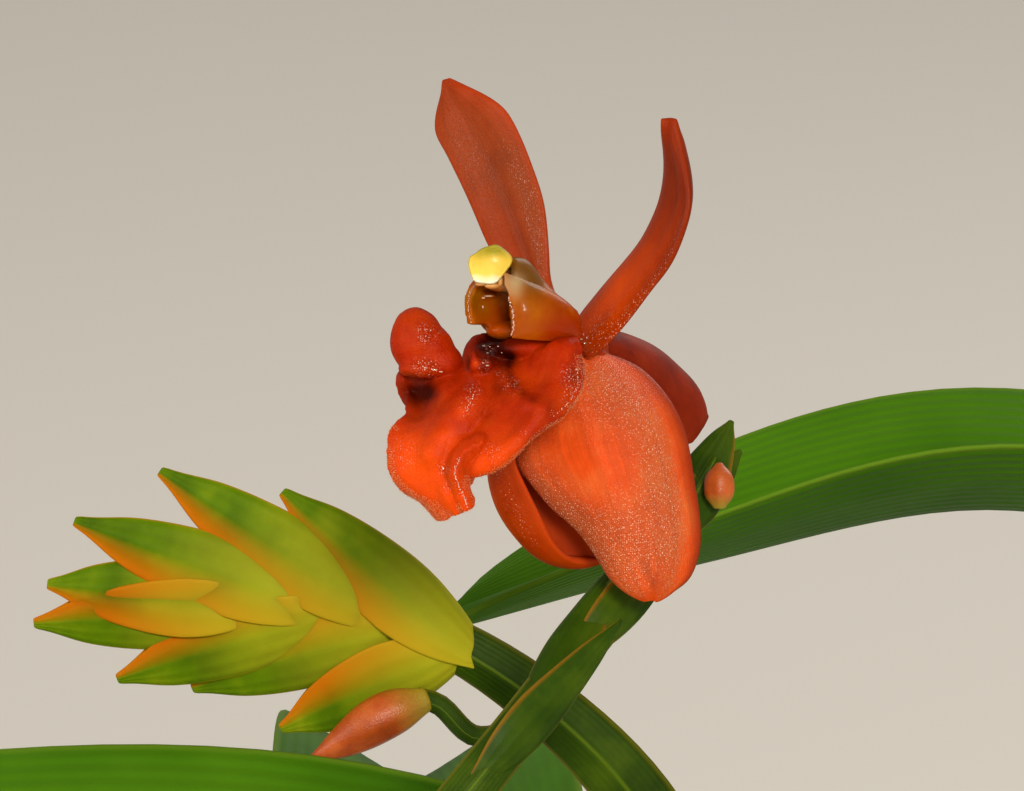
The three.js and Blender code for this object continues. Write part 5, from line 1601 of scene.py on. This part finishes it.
def terracotta():
    # Terracotta: fired red clay, matt and dusty, with paler salt bloom low down and at the rim
    material, tree, place = newMaterial("pot, fired terracotta")
    clays = [(0.3, "#9c5230"), (0.5, "#b5653c"), (0.72, "#c47a52")]
    cloud = addNode(tree, "TexNoise", {"Vector": place, "Scale": perMetre(22.0), "Detail": 6.0,
                                       "Roughness": 0.6}).outputs["Fac"]
    ground = addNode(tree, "ValToRGB", {"Fac": cloud}, stops=clays).outputs[0]
    salt = addNode(tree, "TexNoise", {"Vector": place, "Scale": perMetre(9.0), "Detail": 7.0,
                                      "Roughness": 0.7}).outputs["Fac"]
    patches = addNode(tree, "ValToRGB", {"Fac": salt}, stops=[(0.46, 0.0), (0.66, 0.75)]).outputs[0]
    height = addNode(tree, "SeparateXYZ", {0: place}).outputs[2]
    low = addNode(tree, "MapRange", {"Value": height, "From Min": 0.024, "From Max": 0.0}).outputs[0]
    band = addNode(tree, "MapRange", {"Value": height, "From Min": 0.05, "From Max": 0.07, "To Max": 0.45}).outputs[0]
    both = addNode(tree, "Math", {0: low, 1: band}, operation="MAXIMUM").outputs[0]
    amount = addNode(tree, "Math", {0: both, 1: patches}, operation="MULTIPLY").outputs[0]
    dusty = addNode(tree, "Mix", {0: amount, 6: ground, 7: colour("#ddc9b4")}, data_type="RGBA")
    grit = addNode(tree, "TexNoise", {"Vector": place, "Scale": perMetre(0.8), "Detail": 4.0})
    rings = addNode(tree, "Mapping", {"Vector": place, "Scale": (1.0, 1.0, perMetre(2.2))})
    thrown = addNode(tree, "TexNoise", {"Vector": rings.outputs[0], "Scale": 1.0, "Detail": 2.0})
    fine = addNode(tree, "Bump", {"Height": grit.outputs["Fac"], "Strength": 0.3, "Distance": 0.25 * mm})
    relief = addNode(tree, "Bump", {"Height": thrown.outputs["Fac"], "Strength": 0.35, "Distance": 0.5 * mm,
                                    "Normal": fine.outputs[0]})
    return withShader(material, {"Base Color": dusty.outputs[2], "Roughness": 0.88, "IOR": 1.5,
                                 "Normal": relief.outputs[0]})


def makePot():
    base, rim, top, floor = pot["baseRadius"], pot["rimRadius"], pot["height"], pot["floor"]
    bandFoot = top - pot["band"]

    def outer(z):
        return mix(base, rim - pot["bandStep"], z / top)

    def inner(z):
        return outer(z) - pot["wall"]

    # radius and height of each ring
    profile = [(base - 0.25, 0.25), (base, 1)]
    profile += [(outer(z), z) for z in np.linspace(4, bandFoot - 1, 14)]
    profile += [(outer(bandFoot) + 0.7, bandFoot - 0.5), (outer(bandFoot) + pot["bandStep"] - 0.4, bandFoot + 0.1)]
    profile += [(mix(outer(bandFoot) + pot["bandStep"], rim, k), mix(bandFoot + 0.8, top - 1.8, k))
                for k in (0, 0.2, 0.4, 0.6, 0.8, 1)]
    profile += [(rim - 0.3, top - 0.8), (rim - 1.1, top - 0.15), (rim - 2.4, top), (inner(top) + 1.2, top - 0.25),
                (inner(top) + 0.2, top - 1.2), (inner(top), top - 2.4)]
    profile += [(inner(z), z) for z in np.linspace(60, floor + 3, 8)]
    profile += [(inner(floor) - 1, floor + 0.8), (inner(floor) - 2.5, floor)]
    deselectAll()
    bpy.ops.mesh.primitive_circle_add(vertices=pot["steps"], radius=base - 1, fill_type="NGON")
    piece = newPiece("clayPot")
    bpy.ops.object.mode_set(mode="EDIT")
    bpy.ops.mesh.select_all(action="SELECT")
    radius, height = base - 1, 0.0
    for nextRadius, nextHeight in profile:
        bpy.ops.mesh.extrude_region_move(TRANSFORM_OT_translate={"value": (0, 0, nextHeight - height)})
        bpy.ops.transform.resize(value=(nextRadius / radius, nextRadius / radius, 1))
        radius, height = nextRadius, nextHeight
    bpy.ops.object.mode_set(mode="OBJECT")
    for v in piece.data.vertices:
        turn = math.atan2(v.co.y, v.co.x)
        wobble = 1 + 0.0022 * noise.noise(Vector((math.cos(turn), math.sin(turn), v.co.z * 0.16)))
        v.co.x *= wobble
        v.co.y *= wobble
    drills = []
    for i in range(pot["drains"]):
        turn = 2 * math.pi * (i + 0.5) / pot["drains"]
        deselectAll()
        at = (pot["drainRing"] * math.cos(turn), pot["drainRing"] * math.sin(turn), 0)
        bpy.ops.mesh.primitive_cylinder_add(vertices=32, radius=pot["drainRadius"], depth=30, location=at)
        drills.append(bpy.context.object)
    drill = joinPieces(drills, "drill")
    closeMesh(piece)
    applyModifier(piece, "BOOLEAN", operation="DIFFERENCE", object=drill, solver="EXACT")
    bpy.data.objects.remove(drill)
    makeActive(piece)
    bpy.ops.object.shade_smooth_by_angle(angle=math.radians(42))
    piece.data.materials.append(terracotta())
    return declare(settle(piece), "terracotta", "pot")


makePot()
print("pot made")
